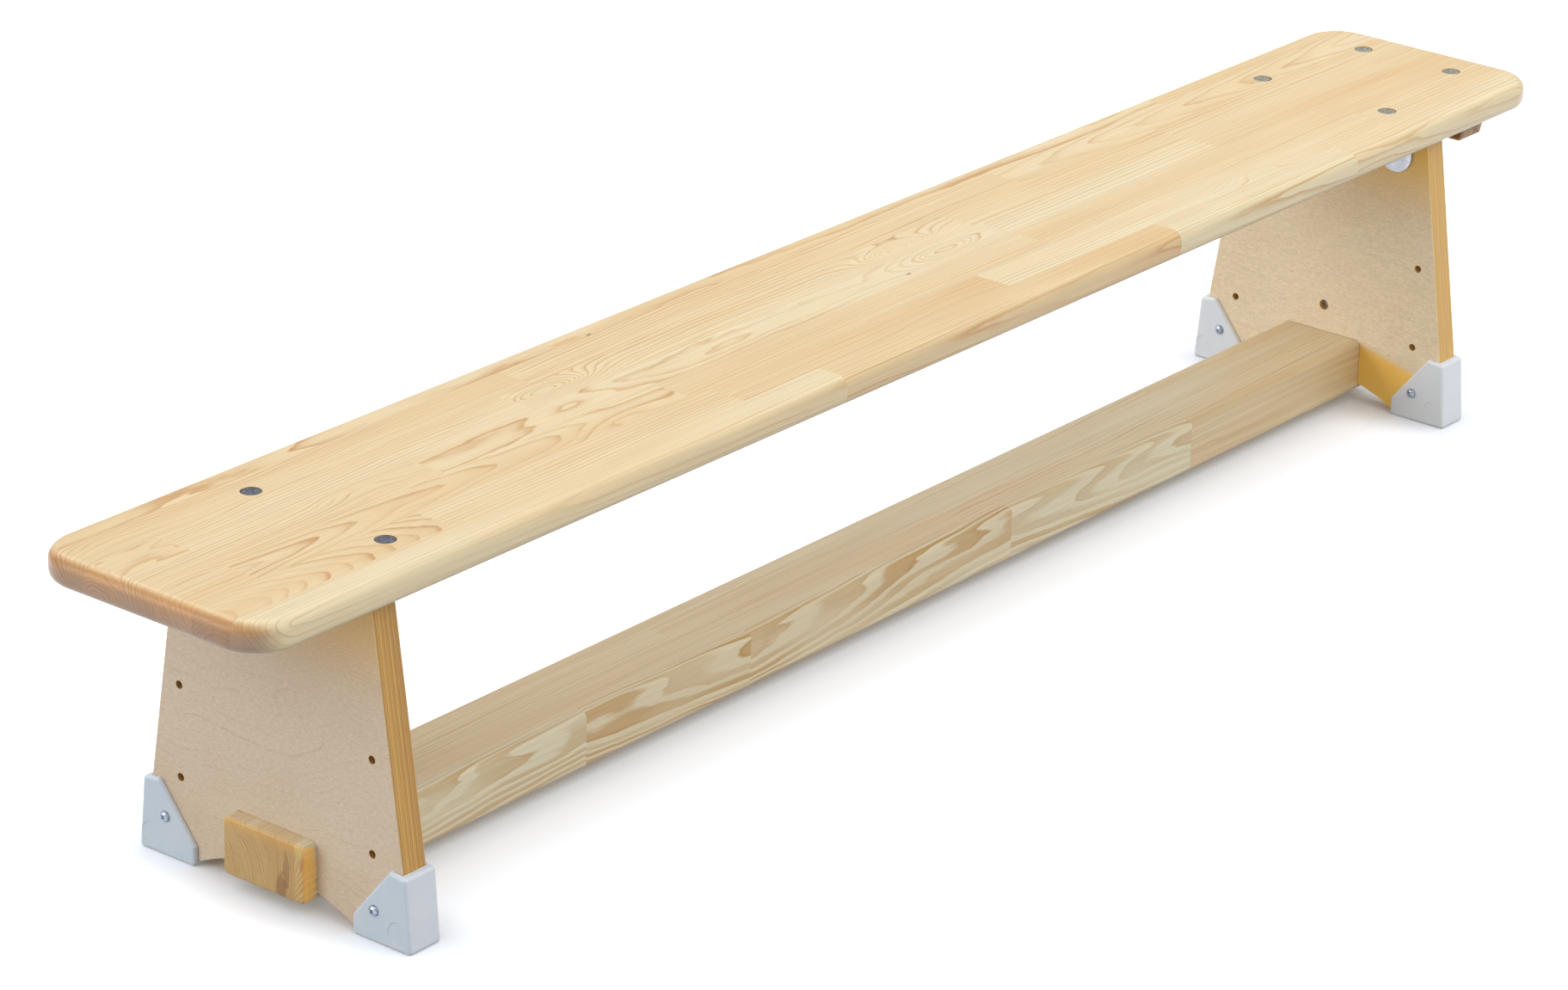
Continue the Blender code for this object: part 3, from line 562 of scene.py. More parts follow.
def splitStaves(piece, lines, rows):
    # Splits the faces along the glue lines, and each row of them at the joints between its staves.
    solid = bmesh.new()
    solid.from_mesh(piece.data)
    for line in lines:
        sliceFaces(solid, solid.faces, (0, line, 0), (0, 1, 0))
    edges = [-math.inf, *lines, math.inf]
    for low, high, row in zip(edges, edges[1:], rows):
        for joint, *_ in row[:-1]:
            faces = [face for face in solid.faces if low < face.calc_center_median().y < high]
            sliceFaces(solid, faces, (joint, 0, 0), (1, 0, 0))
    solid.to_mesh(piece.data)
    solid.free()


def markStaves(piece, look, top):
    # Gives every face the heart, drift and looks of the stave that it belongs to.
    start, lowest = np.array(piece.bound_box)[:, :2].min(axis=0)
    rowEdges = np.array([lowest, *look["glueLines"], np.array(piece.bound_box)[:, 1].max()])
    random = np.random.default_rng(look["seed"])
    centres = np.zeros(len(piece.data.polygons) * 3, np.float32)
    piece.data.polygons.foreach_get("center", centres)
    centres = centres.reshape(-1, 3)
    faceRow = np.clip(np.searchsorted(rowEdges, centres[:, 1]) - 1, 0, len(look["rows"]) - 1)
    names = ("heart", "drift", "stave", "soaked", "whorlA", "whorlB")
    values = {name: np.zeros((len(centres), 3), np.float32) for name in names}
    for number, row in enumerate(look["rows"]):
        middle = (rowEdges[number] + rowEdges[number + 1]) / 2
        first = start
        for last, cutName, warmth, *whorls in row:
            side, depth, rise, lean, ring, wild, late = staveCuts[cutName]
            chosen = (faceRow == number) & (centres[:, 0] >= first) & (centres[:, 0] < last + sliver)
            sway = 1 + random.uniform(-cutSway, cutSway, 4)
            centre = (first + last) / 2
            driftY, driftZ = lean * sway[0], rise * sway[1]
            heartY, heartZ = middle + side * sway[2], top - depth * sway[2]
            values["heart"][chosen] = (heartY - driftY * centre, heartZ - driftZ * centre, ring * sway[3])
            apart = number * rowApart + last * metreApart + look["seed"]
            values["drift"][chosen] = (driftY, driftZ, apart)
            values["stave"][chosen] = (wild, late, warmth)
            values["soaked"][chosen] = (look["soaked"][number], 0.0, 0.0)
            for name, whorl in zip(("whorlA", "whorlB"), whorls):
                values[name][chosen] = whorl
            first = last
    for name, value in values.items():
        attribute = piece.data.attributes.new(name, "FLOAT_VECTOR", "FACE")
        attribute.data.foreach_set("vector", value.ravel())


def glueStaves(piece, look, top):
    splitStaves(piece, look["glueLines"], look["rows"])
    markStaves(piece, look, top)


# The seat: staves glued side by side, with round corners and edges and six sunk bolt heads
seatLook = {
    "cornerRadius": 0.045, "cornerSteps": 18, "edgeRadius": 0.011, "edgeSteps": 7, "pocketDepth": 0.0052,
    "glueLines": (-0.103, -0.0604, -0.0178, 0.0248, 0.0674, 0.110),
    # Each row from the front edge to the back one: where a stave ends, how it was cut, how warm it is,
    # and the x, y and height of up to two whorls
    "rows": (
        ((-0.216, "pale", 0.28), (0.323, "fine", 0.70), (0.642, "fine", 0.20), (1.0, "faint", 0.30)),
        ((-0.724, "shortArch", 0.60), (-0.326, "plain", 0.48), (0.082, "fine", 0.75, (0.0, -0.102, 0.012)),
         (0.757, "plain", 0.22, (0.53, -0.082, 0.020)), (1.0, "plain", 0.60)),
        ((-0.917, "plain", 0.62), (-0.352, "archAhead", 0.50, (-0.44, -0.050, 0.008)),
         (0.206, "fine", 0.40), (1.0, "faint", 0.66)),
        ((-0.639, "straight", 0.45, (-0.720, 0.015, 0.010), (-0.96, -0.010, 0.008)),
         (0.206, "flamed", 0.35, (0.120, 0.006, -0.026), (-0.440, 0.004, 0.012)),
         (0.563, "plain", 0.30), (1.0, "faint", 0.70)),
        ((-0.913, "swirl", 0.70, (-0.955, 0.050, 0.006)), (-0.472, "straight", 0.42),
         (0.195, "straight", 0.45, (-0.430, 0.046, -0.042), (0.090, 0.040, -0.042)),
         (0.563, "plain", 0.48), (1.0, "plain", 0.58)),
        ((-0.426, "straight", 0.48, (-0.950, 0.100, 0.010)), (-0.050, "straight", 0.52),
         (0.333, "straight", 0.38), (1.0, "archBack", 0.48)),
        ((0.637, "flamed", 0.50), (1.0, "plain", 0.52)),
    ),
    "soaked": (0.9, 1.0, 0.6, 0.8, 0.65, 1.0, 0.5),
    "seed": 3,
}


def buildSeat(material):
    # A rectangle with its corners rounded is carried up a rounded edge, less a round pocket for each bolt.
    low, high = boxOf("seat_board")
    seat = roundedBar("seat", rectangle(*low[:2], *high[:2]), low[2], high[2], seatLook)
    cutters = []
    for node in nodes:
        if node.startswith(("seat_bolt_", "batten_bolt_")):
            boltLow, boltHigh = boxOf(node)
            cutters.append(roundCutter(middleOf(node)[:2], (boltHigh[0] - boltLow[0]) / 2,
                                       high[2] - seatLook["pocketDepth"], high[2] + overrun))
    cutAway(seat, cutters)
    glueStaves(seat, seatLook, high[2])
    finishPiece(seat, "seatBoard", material, "seat_board")


# The beam: four strips glued side by side, seen from above and at its two ends
beamLook = {
    "cornerRadius": 0.006, "cornerSteps": 5, "edgeRadius": 0.003, "edgeSteps": 3, "pocketRadius": 0.008,
    "glueLines": (-0.038, -0.004, 0.030),
    "rows": (
        ((-0.480, "faceBack", 0.05), (-0.240, "faceAhead", 0.10), (0.176, "faceBack", 0.10),
         (0.492, "faceAhead", 0.15), (0.9, "plain", 0.60)),
        ((0.120, "fine", 0.45), (0.9, "straight", 0.36)),
        ((-0.300, "straight", 0.50), (0.9, "fine", 0.32)),
        ((0.529, "straight", 0.40), (0.9, "fine", 0.55)),
    ),
    "soaked": (0.0, 0.3, 0.2, 0.2),
    "seed": 11,
}
# Where its pine looks unlike the seat's
beamColors = {
    "early": paint(217, 207, 178), "earlyWarm": paint(210, 181, 134),
    # The end's upper tint is painted light, as on the seat
    "endTint": paint(226, 204, 158), "endPaintedLight": paint(246, 214, 140), "endSpan": (0.058, 0.070),
    # Its last entry is painted shade towards the near end, as on the seat
    "late": paint(180, 138, 62), "lateWarm": paint(176, 128, 62), "lateShare": 0.62, "nearPaintedShade": 0.02,
    "ringShape": ((0.0, 0.0), (0.34, 0.04), (0.50, 0.74), (0.80, 0.80), (0.93, 1.0), (1.0, 0.0)),
    "spots": (
        ((-0.857, -0.0220, 0.022), (0.012, 0.0085, 0.020), paint(138, 98, 48), 0.65),
        ((-0.857, -0.0280, 0.042), (0.012, 0.0050, 0.022), paint(140, 100, 50), 0.50),
        ((-0.857, -0.0480, 0.054), (0.010, 0.0060, 0.009), paint(184, 118, 46), 0.50),
        # Painted golden shade on the front side of the beam's end, beyond the leg
        ((-0.852, -0.0495, 0.040), (0.014, 0.0030, 0.044), paint(244, 189, 86), 0.80),
        ((-0.857, -0.0390, 0.032), (0.012, 0.0065, 0.014), paint(214, 188, 146), 0.45),
    ),
}


def buildBeam(material):
    # A rectangle with rounded corners is carried along the bench, less a pocket below for each bolt head.
    low, high = boxOf("balance_beam")
    beam = roundedBar("beam", rectangle(*low[1:], *high[1:]), low[0], high[0], beamLook, acrossBench)
    radius = beamLook["pocketRadius"]
    cutAway(beam, [washerCutter("beam_bolt_washer_" + end, radius, low[2]) for end in ends])
    glueStaves(beam, beamLook, high[2])
    finishPiece(beam, "balanceBeam", material, "balance_beam")


# The end legs: birch plywood with a low arch, a notch for the beam and small round holes
legLook = {
    "edgeRadius": 0.0011, "edgeSteps": 3, "archRise": 0.023, "archHalfSpan": 0.0937, "archSteps": 40,
    "holeRadius": 0.004, "holeSide": 0.116, "holeHeights": (0.0815, 0.172),
}


def legOutline(low, high, topHalf):
    # The arch is a circular arc: its radius is the half span squared plus the rise squared, over
    # twice the rise. Straight sides run from the floor corners to the narrower top.
    span, rise = legLook["archHalfSpan"], legLook["archRise"]
    radius = (span ** 2 + rise ** 2) / (2 * rise)
    reach = math.asin(span / radius)
    turn = np.linspace(math.pi / 2 + reach, math.pi / 2 - reach, legLook["archSteps"] + 1)
    centre = low[2] + rise - radius
    arch = np.stack([radius * np.cos(turn), centre + radius * np.sin(turn)], axis=1)
    rest = np.array([(high[1], low[2]), (topHalf, high[2]), (-topHalf, high[2]), (low[1], low[2])])
    return np.concatenate([arch, rest])


def topHalfWidth(node):
    # The CAD leg's own half width within play of its top, and the edge radius that is left out there.
    points = pointsOf(nodes[node])
    return float(points[points[:, 2] > points[:, 2].max() - play, 1].max()) + legLook["edgeRadius"]


def buildLeg(end, material):
    # The leg's outline is carried along the bench, less the beam's notch, four holes and the nut's pocket.
    node = "end_leg_" + end
    low, high = boxOf(node)
    rings = plateRings(legOutline(low, high, topHalfWidth(node)), low[0], high[0],
                       legLook["edgeRadius"], legLook["edgeSteps"])
    leg = ringMesh(node, acrossBench(rings))
    beamLow, beamHigh = boxOf("balance_beam")
    notch = filletOutline(rectangle(*(beamLow[1:] - play), *(beamHigh[1:] + play)),
                          beamLook["cornerRadius"] + play, beamLook["cornerSteps"])
    through = low[0] - overrun, high[0] + overrun
    cutters = [straightCutter(notch, *through, acrossBench)]
    for way in sides.values():
        for height in legLook["holeHeights"]:
            hole = (way * legLook["holeSide"], height)
            cutters.append(roundCutter(hole, legLook["holeRadius"], *through, acrossBench))
    nutLow, nutHigh = boxOf("barrel_nut_" + end)
    inside = (through[0], nutHigh[0] + play) if ends[end] > 0 else (nutLow[0] - play, through[1])
    cutters.append(roundCutter(middleOf("barrel_nut_" + end)[1:], (nutHigh[2] - nutLow[2]) / 2 + play,
                               *inside, acrossBench))
    cutAway(leg, cutters)
    finishPiece(leg, "endLeg" + labelOf(end), material, node)


plyLook = {
    # Both legs' colours, the near one's first: the face, its stains and thin lines, the layers. The far
    # leg's lighter, warmer colours are partly its own tone and partly painted light, bounced from the pine
    "face": (paint(201, 184, 162), paint(229, 211, 181)),
    "stain": (paint(189, 165, 139), paint(220, 197, 159)),
    "line": (paint(156, 128, 104), paint(186, 157, 119)),
    "ply": (paint(198, 155, 78), paint(212, 172, 100)),
    "dark": (paint(150, 102, 46), paint(200, 154, 80)),
    # The dark glue, and the golden colour of the painted shade
    "glue": paint(88, 52, 24), "paintedShade": paint(250, 198, 82),
    "farApart": 7.4, "plyCount": 11, "veneer": 0.0007,
    # The figure's lines: how far slow and quick noise bend them, the gap between two, how a line fades
    # in and out and where it breaks off
    "swing": 0.17, "swingNoise": ((1.0, 3.4, 7.0), 2.0, 0.5, 0.4),
    "sway": 0.0052, "swayNoise": ((1.0, 30.0, 46.0), 2.0, 0.6),
    "lineGap": 0.0052, "lineShape": ((0.0, 0.1), (0.2, 0.0), (0.55, 0.2), (0.88, 1.0), (1.0, 0.1)),
    "breakNoise": ((1.0, 12.0, 40.0), 3.0, 0.6), "breaks": ((0.36, 0.1), (0.60, 1.0)),
    "linePower": (0.28, 0.24),
    "stainNoise": ((1.0, 6.0, 9.0), 3.0), "stains": ((0.35, 0.0), (0.68, 1.0)), "stainPower": 0.45,
    # Pores and grit: how much their noise lightens the face, and from where
    "poreNoise": ((1.0, 170.0, 480.0), 3.0, 0.75), "pores": (0.56, 0.72),
    "gritNoise": ((1.0, 620.0, 700.0), 1.0), "grit": (0.30, 0.85),
    # Painted golden shade under the seat and beside the beam: the heights between which it fades, and how
    # far to the front it lies, counted from half a metre behind the middle
    "underSeat": ((0.215, 0.0), (0.318, 0.62)), "underFront": ((0.42, 0.0), (0.59, 1.0)),
    "underPower": (0.9, 1.5), "besideBeam": ((0.201, 1.0), (0.210, 0.0)), "besideSlope": 0.25,
    "besideFront": 0.549, "besidePower": 0.9,
    # The layers at the edges: their grain, and the dark seams between them
    "grainNoise": ((1500.0, 90.0, 16.0), 3.0, 0.6), "grain": (0.6, 0.72), "darkPower": 0.6,
    "seamShape": ((0.0, 1.0), (0.12, 0.9), (0.20, 0.0), (1.0, 0.0)),
    "seamChance": ((0.15, 0.35), (0.50, 1.0)), "seamStart": 0.35, "seamPower": (0.95, 0.25),
    "rough": 0.42, "poreRough": 0.12, "relief": 0.0001,
}


def makePlywood(name, look):
    # Layers lie at equal depths through the leg. The outermost ones show the veneer's figure: thin
    # lines where a slow noise, stretched across the leg, passes each of many levels.
    material, tree, shader = newMaterial(name)
    place = objectPlace(tree)
    x, y, z = splitVector(place)
    low, high = boxOf("end_leg_far")
    thickness = float(high[0] - low[0])
    depth = minus(absolute(x), float(low[0]))
    isFar = isOver(x, 0.0)
    shift = times(isFar, look["farApart"])
    moved = joinVector(shift, y, z)

    # The far leg's lighter colours are partly its own tone and partly painted light
    def either(part):
        return mixColors(isFar, *look[part])

    def power(part):
        near, far = look[part]
        return scaled(isFar, far - near, near)

    slow = noiseOf(moved, *look["swingNoise"])
    quick = noiseOf(moved, *look["swayNoise"])
    height = scaled(quick, look["sway"], scaled(slow, look["swing"], z))
    levels = over(height, look["lineGap"])
    line = rampOf(mathOf("FRACT", levels), look["lineShape"])
    chance = chanceOf(joinVector(mathOf("FLOOR", levels), shift, 0.0))
    whole = patchesOf(moved, look["breakNoise"], look["breaks"])
    line = times(line, whole, chance)
    patch = patchesOf(moved, look["stainNoise"], look["stains"])
    face = mixColors(times(patch, look["stainPower"]), either("face"), either("stain"))
    face = mixColors(times(line, power("linePower")), face, either("line"))
    pores = noiseOf(moved, *look["poreNoise"])
    grit = noiseOf(moved, *look["gritNoise"])
    face = tinted(face, times(scaled(pores, *look["pores"]), scaled(grit, *look["grit"])))

    # Painted golden shade: under the seat towards the front, and the beam's painted shadow low down
    # beside it on the far leg's inner face
    toFront = minus(0.5, y)
    under = times(rampOf(z, look["underSeat"], True), rampOf(toFront, look["underFront"], True),
                  power("underPower"))
    lower = rampOf(scaled(toFront, look["besideSlope"], z), look["besideBeam"], True)
    beside = times(lower, isOver(toFront, look["besideFront"]), isFar,
                   mathOf("LESS_THAN", depth, look["veneer"]), look["besidePower"])
    paintedShade = largest(under, beside)
    face = mixColors(paintedShade, face, look["paintedShade"])

    plies = times(depth, look["plyCount"] / thickness)
    tone = chanceOf(joinVector(mathOf("FLOOR", plies), shift, 1.0))
    grain = noiseOf(place, *look["grainNoise"])
    layer = mixColors(times(tone, look["darkPower"]), either("ply"), either("dark"))
    seam = rampOf(mathOf("FRACT", plies), look["seamShape"])
    seam = times(seam, rampOf(tone, look["seamChance"]), plus(grain, look["seamStart"]), power("seamPower"))
    layer = mixColors(seam, layer, look["glue"])
    layer = tinted(layer, scaled(grain, *look["grain"]))

    fromFace = mathOf("MINIMUM", depth, minus(thickness, depth))
    color = mixColors(isOver(fromFace, look["veneer"]), face, layer)
    rough = scaled(pores, look["poreRough"], look["rough"])
    dress(shader, color, rough, pores, look["relief"], specular=0.4, coat=0.08, coatRoughness=0.3)
    return material


# The feet: moulded caps with a slot for the leg and one plain round recess on each face
footLook = {
    "edgeRadius": 0.0032, "edgeSteps": 6, "baseLength": 0.069, "innerHeight": 0.0195, "topLength": 0.019,
    "topRise": 0.0025, "topInset": 0.0061, "cornerRadius": 0.0036, "cornerSteps": 7, "slotReach": 0.02,
    "recessSide": 0.150, "recessHeight": 0.0165, "recessRadius": 0.0115, "recessDepth": 0.0005,
    "recessSteps": 64, "rimWidth": 0.0003, "rimSegments": 2, "sharpest": 50,
}


def buildFoot(end, side, material):
    # The foot's five sided outline, drawn for the back and mirrored for the front, is carried along the
    # bench, less the slot that follows the leg's leaning side and a round recess in either face.
    node = f"foot_{end}_{side}"
    low, high = boxOf(node)
    way = sides[side]
    outer = max(abs(low[1]), abs(high[1]))
    inner, outerTop = outer - footLook["baseLength"], outer - footLook["topInset"]
    legLow, legHigh = boxOf("end_leg_" + end)
    slope = (legHigh[1] - topHalfWidth("end_leg_" + end)) / (legHigh[2] - legLow[2])

    def forSide(points):
        return points if way > 0 else [(-y, z) for y, z in reversed(points)]

    corners = [(inner, low[2]), (outer, low[2]), (outerTop, high[2] - footLook["topRise"]),
               (outerTop - footLook["topLength"], high[2]), (inner, footLook["innerHeight"])]
    foot = roundedBar(node, forSide(corners), low[0], high[0], footLook, acrossBench)
    slotTop, slotInner = high[2] + overrun, inner - footLook["slotReach"]
    slot = [(slotInner, legLow[2] - play), (legHigh[1] + play, legLow[2] - play),
            (legHigh[1] - slope * (slotTop - legLow[2]) + play, slotTop), (slotInner, slotTop)]
    cutters = [straightCutter(np.array(forSide(slot)), legLow[0] - play, legHigh[0] + play, acrossBench)]
    recess = (way * footLook["recessSide"], footLook["recessHeight"])
    for faceLow, faceHigh in ((low[0] - overrun, low[0] + footLook["recessDepth"]),
                              (high[0] - footLook["recessDepth"], high[0] + overrun)):
        cutters.append(roundCutter(recess, footLook["recessRadius"], faceLow, faceHigh, acrossBench,
                                   footLook["recessSteps"]))
    cutAway(foot, cutters)
    softenEdges(foot, footLook["rimWidth"], footLook["rimSegments"], footLook["sharpest"])
    finishPiece(foot, "foot" + labelOf(end, side), material, node, footLook["sharpest"])


plasticLook = {
    "near": paint(201, 208, 219), "nearCloud": paint(206, 211, 219),
    # The near feet's outer faces are a little darker and bluer than their sides: painted shade and cool
    # light
    "nearFacePaintedShade": (0.82, 0.88, 0.91, 1.0),
    # The far feet are lighter: painted light, for light that falls off towards the near end
    "far": paint(217, 223, 232), "farCloud": paint(221, 226, 232),
    "cloudNoise": ((30.0, 30.0, 30.0), 3.0), "clouds": ((0.35, 0.0), (0.7, 1.0)),
    "grainNoise": ((1500.0, 1500.0, 1500.0), 2.0), "rough": 0.34, "grainRough": 0.12, "relief": 0.00005,
}


def makePlastic(name, look):
    # Moulded plastic: a fine even grain and faint cloudy patches. Painted light: the far feet are lighter,
    # and the near feet's outer faces darker and bluer by how far a face looks along X.
    material, tree, shader = newMaterial(name)
    place = objectPlace(tree)
    cloud = patchesOf(place, look["cloudNoise"], look["clouds"])
    grain = noiseOf(place, *look["grainNoise"])
    isFar = isOver(splitVector(place)[0], 0.0)
    color = mixColors(cloud, mixColors(isFar, look["near"], look["far"]),
                      mixColors(isFar, look["nearCloud"], look["farCloud"]))
    outward = largest(times(normalAlongX(tree), -1.0), 0.0)
    color = mixColors(minus(outward, isFar), color, tinted(color, look["nearFacePaintedShade"]))
    rough = scaled(grain, look["grainRough"], look["rough"])
    dress(shader, color, rough, grain, look["relief"], strength=0.4)
    return material


# The hook batten: a leaning strip under the far end
battenLook = {
    "cornerRadius": 0.002, "cornerSteps": 4, "edgeRadius": 0.002, "edgeSteps": 4,
    "lean": 24.0, "width": 0.043, "pocketRadius": 0.010,
}


def buildBatten(material):
    # A strip leaning by its height times the tangent of its lean is carried across the bench, less a
    # pocket below for each nut.
    low, high = boxOf("hook_batten")
    lean = (high[2] - low[2]) * math.tan(math.radians(battenLook["lean"]))
    corners = [(low[0], low[2]), (low[0] + battenLook["width"], low[2]),
               (low[0] + lean + battenLook["width"], high[2]), (low[0] + lean, high[2])]
    batten = roundedBar("batten", corners, low[1], high[1], battenLook, alongBench)
    radius = battenLook["pocketRadius"]
    cutAway(batten, [washerCutter("batten_washer_" + side, radius, low[2]) for side in sides])
    finishPiece(batten, "hookBatten", material, "hook_batten")


beechLook = {
    "base": paint(186, 151, 114), "dark": paint(142, 106, 68), "fleck": paint(108, 72, 50),
    "streakNoise": ((160.0, 5.0, 160.0), 3.0, 0.6), "streaks": ((0.35, 0.0), (0.65, 1.0)),
    "fleckNoise": ((900.0, 120.0, 900.0), 2.0), "flecks": ((0.60, 0.0), (0.72, 1.0)), "fleckPower": 0.35,
    "rough": 0.42, "streakRough": 0.12, "relief": 0.0001,
}


def makeBeech(name, look):
    # Beech runs across the bench: streaks stretched along Y and short dark flecks.
    material, tree, shader = newMaterial(name)
    place = objectPlace(tree)
    streak = noiseOf(place, *look["streakNoise"])
    fleck = rampOf(noiseOf(place, *look["fleckNoise"]), look["flecks"])
    color = mixColors(rampOf(streak, look["streaks"], True), look["base"], look["dark"])
    color = mixColors(times(fleck, look["fleckPower"]), color, look["fleck"])
    rough = scaled(streak, look["streakRough"], look["rough"])
    dress(shader, color, rough, fleck, look["relief"], strength=0.4, specular=0.4)
    return material


# Metals: their darkest and lightest tone, patches for each metre, roughness, relief, how metallic
metalLook = {
    "bracketZinc": (paint(178, 182, 189), paint(200, 202, 206), 70.0, 0.50, 0.00004, 1.0),
    "screwZinc": (paint(128, 137, 154), paint(184, 191, 204), 500.0, 0.34, 0.00003, 1.0),
    "boltSteel": (paint(60, 63, 73), paint(116, 118, 128), 420.0, 0.55, 0.00015, 0.6),
    # The far bolts' lighter tones are a painted reflection
    "boltSteelFarPaintedSheen": (paint(112, 115, 109), paint(168, 169, 157), 420.0, 0.55, 0.00015, 0.6),
    "nutZinc": (paint(150, 154, 162), paint(196, 198, 204), 400.0, 0.42, 0.00004, 1.0),
}
# The mottling: its noise's detail and roughness, its ramp, and what it adds to the roughness
mottleNoise = (4.0, 0.65)
mottleShape = ((0.32, 0.0), (0.68, 1.0))
mottleRough = -0.12


def makeMetal(name, dark, light, patches, roughness, relief, metallic):
    # Mottled metal: two tones mixed by noise, with the roughness following the same patches.
    material, tree, shader = newMaterial(name)
    noise = noiseOf(objectPlace(tree), (patches, patches, patches), *mottleNoise)
    mottle = rampOf(noise, mottleShape, True)
    color = mixColors(mottle, dark, light)
    dress(shader, color, scaled(mottle, mottleRough, roughness), mottle, relief, metallic=metallic)
    return material


# The angle brackets: a flat strip with round ends, bent square
bracketLook = {
    "width": 0.040, "thickness": 0.004, "bendRadius": 0.002, "bendSteps": 8, "cornerRadius": 0.0195,
    "cornerSteps": 16, "edgeRadius": 0.0005, "edgeSteps": 2, "screwHole": 0.0030, "boltHole": 0.0045,
}


def buildBracket(end, side, material):
    # The strip is cut flat, then the length along it is bent: straight down the leg, round a quarter
    # arc, and straight along under the seat. The two parameters are the strip's length and thickness.
    node = f"angle_bracket_{end}_{side}"
    low, high = boxOf(node)
    way = ends[end]
    skin = bracketLook["thickness"] / 2
    middle = bracketLook["bendRadius"] + skin
    legArm = high[2] - low[2] - middle - skin
    seatArm = high[0] - low[0] - middle - skin
    bend = middle * math.pi / 2
    half = bracketLook["width"] / 2
    strip = roundedBar(node, rectangle(-legArm, -half, bend + seatArm, half), -skin, skin, bracketLook)
    leg = high[0] if way > 0 else low[0]
    screwAt = middleOf(f"bracket_screw_{end}_{side}")[2] - (high[2] - middle - skin)
    boltAt = bend + abs(leg - middleOf(f"seat_bolt_{end}_{side}")[0]) - middle - skin
    cutAway(strip, [roundCutter((screwAt, 0), bracketLook["screwHole"], -overrun, overrun),
                    roundCutter((boltAt, 0), bracketLook["boltHole"], -overrun, overrun)])
    solid = bmesh.new()
    solid.from_mesh(strip.data)
    for length in np.linspace(0, bend, bracketLook["bendSteps"] + 1):
        sliceFaces(solid, solid.faces, (length, 0, 0), (1, 0, 0))
    solid.to_mesh(strip.data)
    solid.free()
    run, across, lift = pointsOf(strip).astype(float).T
    angle = np.clip(run / middle, 0, math.pi / 2)
    fall, reach = np.minimum(run, 0), np.maximum(run - bend, 0)
    inward = middle * (1 - np.cos(angle)) + reach + lift * np.cos(angle)
    upward = middle * np.sin(angle) + fall - lift * np.sin(angle)
    x = leg - way * (skin + inward)
    y = middleOf(node)[1] + across * way
    z = high[2] - skin - middle + upward
    strip.data.vertices.foreach_set("co", np.stack([x, y, z], axis=1).astype(np.float32).ravel())
    strip.data.update()
    finishPiece(strip, "angleBracket" + labelOf(end, side), material, node)


# Screws: domed heads with a cross recess, over a pointed shank
screwLook = {
    "steps": 48, "domeSteps": 10, "domePower": 2.4, "footHead": 0.0032, "bracketHead": 0.003,
    "crossLength": 0.0048, "crossWidth": 0.0011, "crossDepth": 0.0016, "crossTurn": 0.6,
    "shank": 0.0022, "seatShare": 0.99, "seatSink": 0.00005,
}


def buildScrew(node, name, way, headHeight, material):
    # The dome's radius falls as the square root of one less the height's share to the dome's power.
    low, high = boxOf(node)
    radius = (high[2] - low[2]) / 2
    middle = (low + high) / 2
    seatX = high[0] - headHeight if way > 0 else low[0] + headHeight
    tip = high[0] - low[0] - headHeight
    shank, sink = screwLook["shank"], -screwLook["seatSink"]
    rise = np.linspace(1, 0, screwLook["domeSteps"])
    dome = np.stack([radius * (1 - rise ** screwLook["domePower"]) ** 0.5, headHeight * rise], axis=1)
    profile = [*dome, (radius * screwLook["seatShare"], sink), (shank, sink), (shank, shank - tip),
               (0, -tip)]

    def outwards(points):
        across, up, out = points.T
        return np.stack([seatX + way * out, middle[1] + way * across, middle[2] + up], axis=1)

    screw = turnedMesh(name, profile, screwLook["steps"], outwards)
    top = seatX + way * headHeight
    cutters = []
    for turn in (screwLook["crossTurn"], screwLook["crossTurn"] + math.pi / 2):
        run = np.array([math.cos(turn), math.sin(turn)]) * screwLook["crossLength"] / 2
        wide = np.array([-math.sin(turn), math.cos(turn)]) * screwLook["crossWidth"] / 2
        corners = np.array([-run - wide, run - wide, run + wide, -run + wide]) + middle[1:]
        reach = sorted((top - way * screwLook["crossDepth"], top + way * overrun))
        cutters.append(straightCutter(corners, *reach, acrossBench))
    cutAway(screw, cutters)
    finishPiece(screw, name, material, node)


# Bolts: flat heads with a round rim and a shallow dish, over a straight shank
boltLook = {
    "steps": 48, "play": 0.0004, "rim": 0.0009, "rimSteps": 4, "dish": 0.00035, "dishSteps": 6,
    "dishPower": 4, "head": 0.0045, "sink": 0.0001, "shank": 0.004, "tip": 0.0006,
}


def buildBolt(node, name, material):
    # The dish is as deep as one less the radius's share to the dish's power; the rim is a quarter arc.
    low, high = boxOf(node)
    rim, shank, tip = boltLook["rim"], boltLook["shank"], boltLook["tip"]
    radius = (high[0] - low[0]) / 2 - boltLook["play"]
    length = high[2] - low[2]
    share = np.linspace(0, 1, boltLook["dishSteps"] + 1)
    dish = -boltLook["dish"] * (1 - share ** boltLook["dishPower"])
    turn = np.linspace(0, math.pi / 2, boltLook["rimSteps"] + 1)[1:]
    profile = [*np.stack([share * (radius - rim), dish], axis=1),
               *np.stack([radius - rim + rim * np.sin(turn), rim * np.cos(turn) - rim], axis=1),
               (radius, boltLook["sink"] - boltLook["head"]), (shank, -boltLook["head"]),
               (shank, tip - length), (shank - tip, -length), (0, -length)]

    def inPlace(points):
        return points + np.array([*middleOf(node)[:2], high[2]])

    bolt = turnedMesh(name, profile, boltLook["steps"], inPlace)
    finishPiece(bolt, name, material, node)


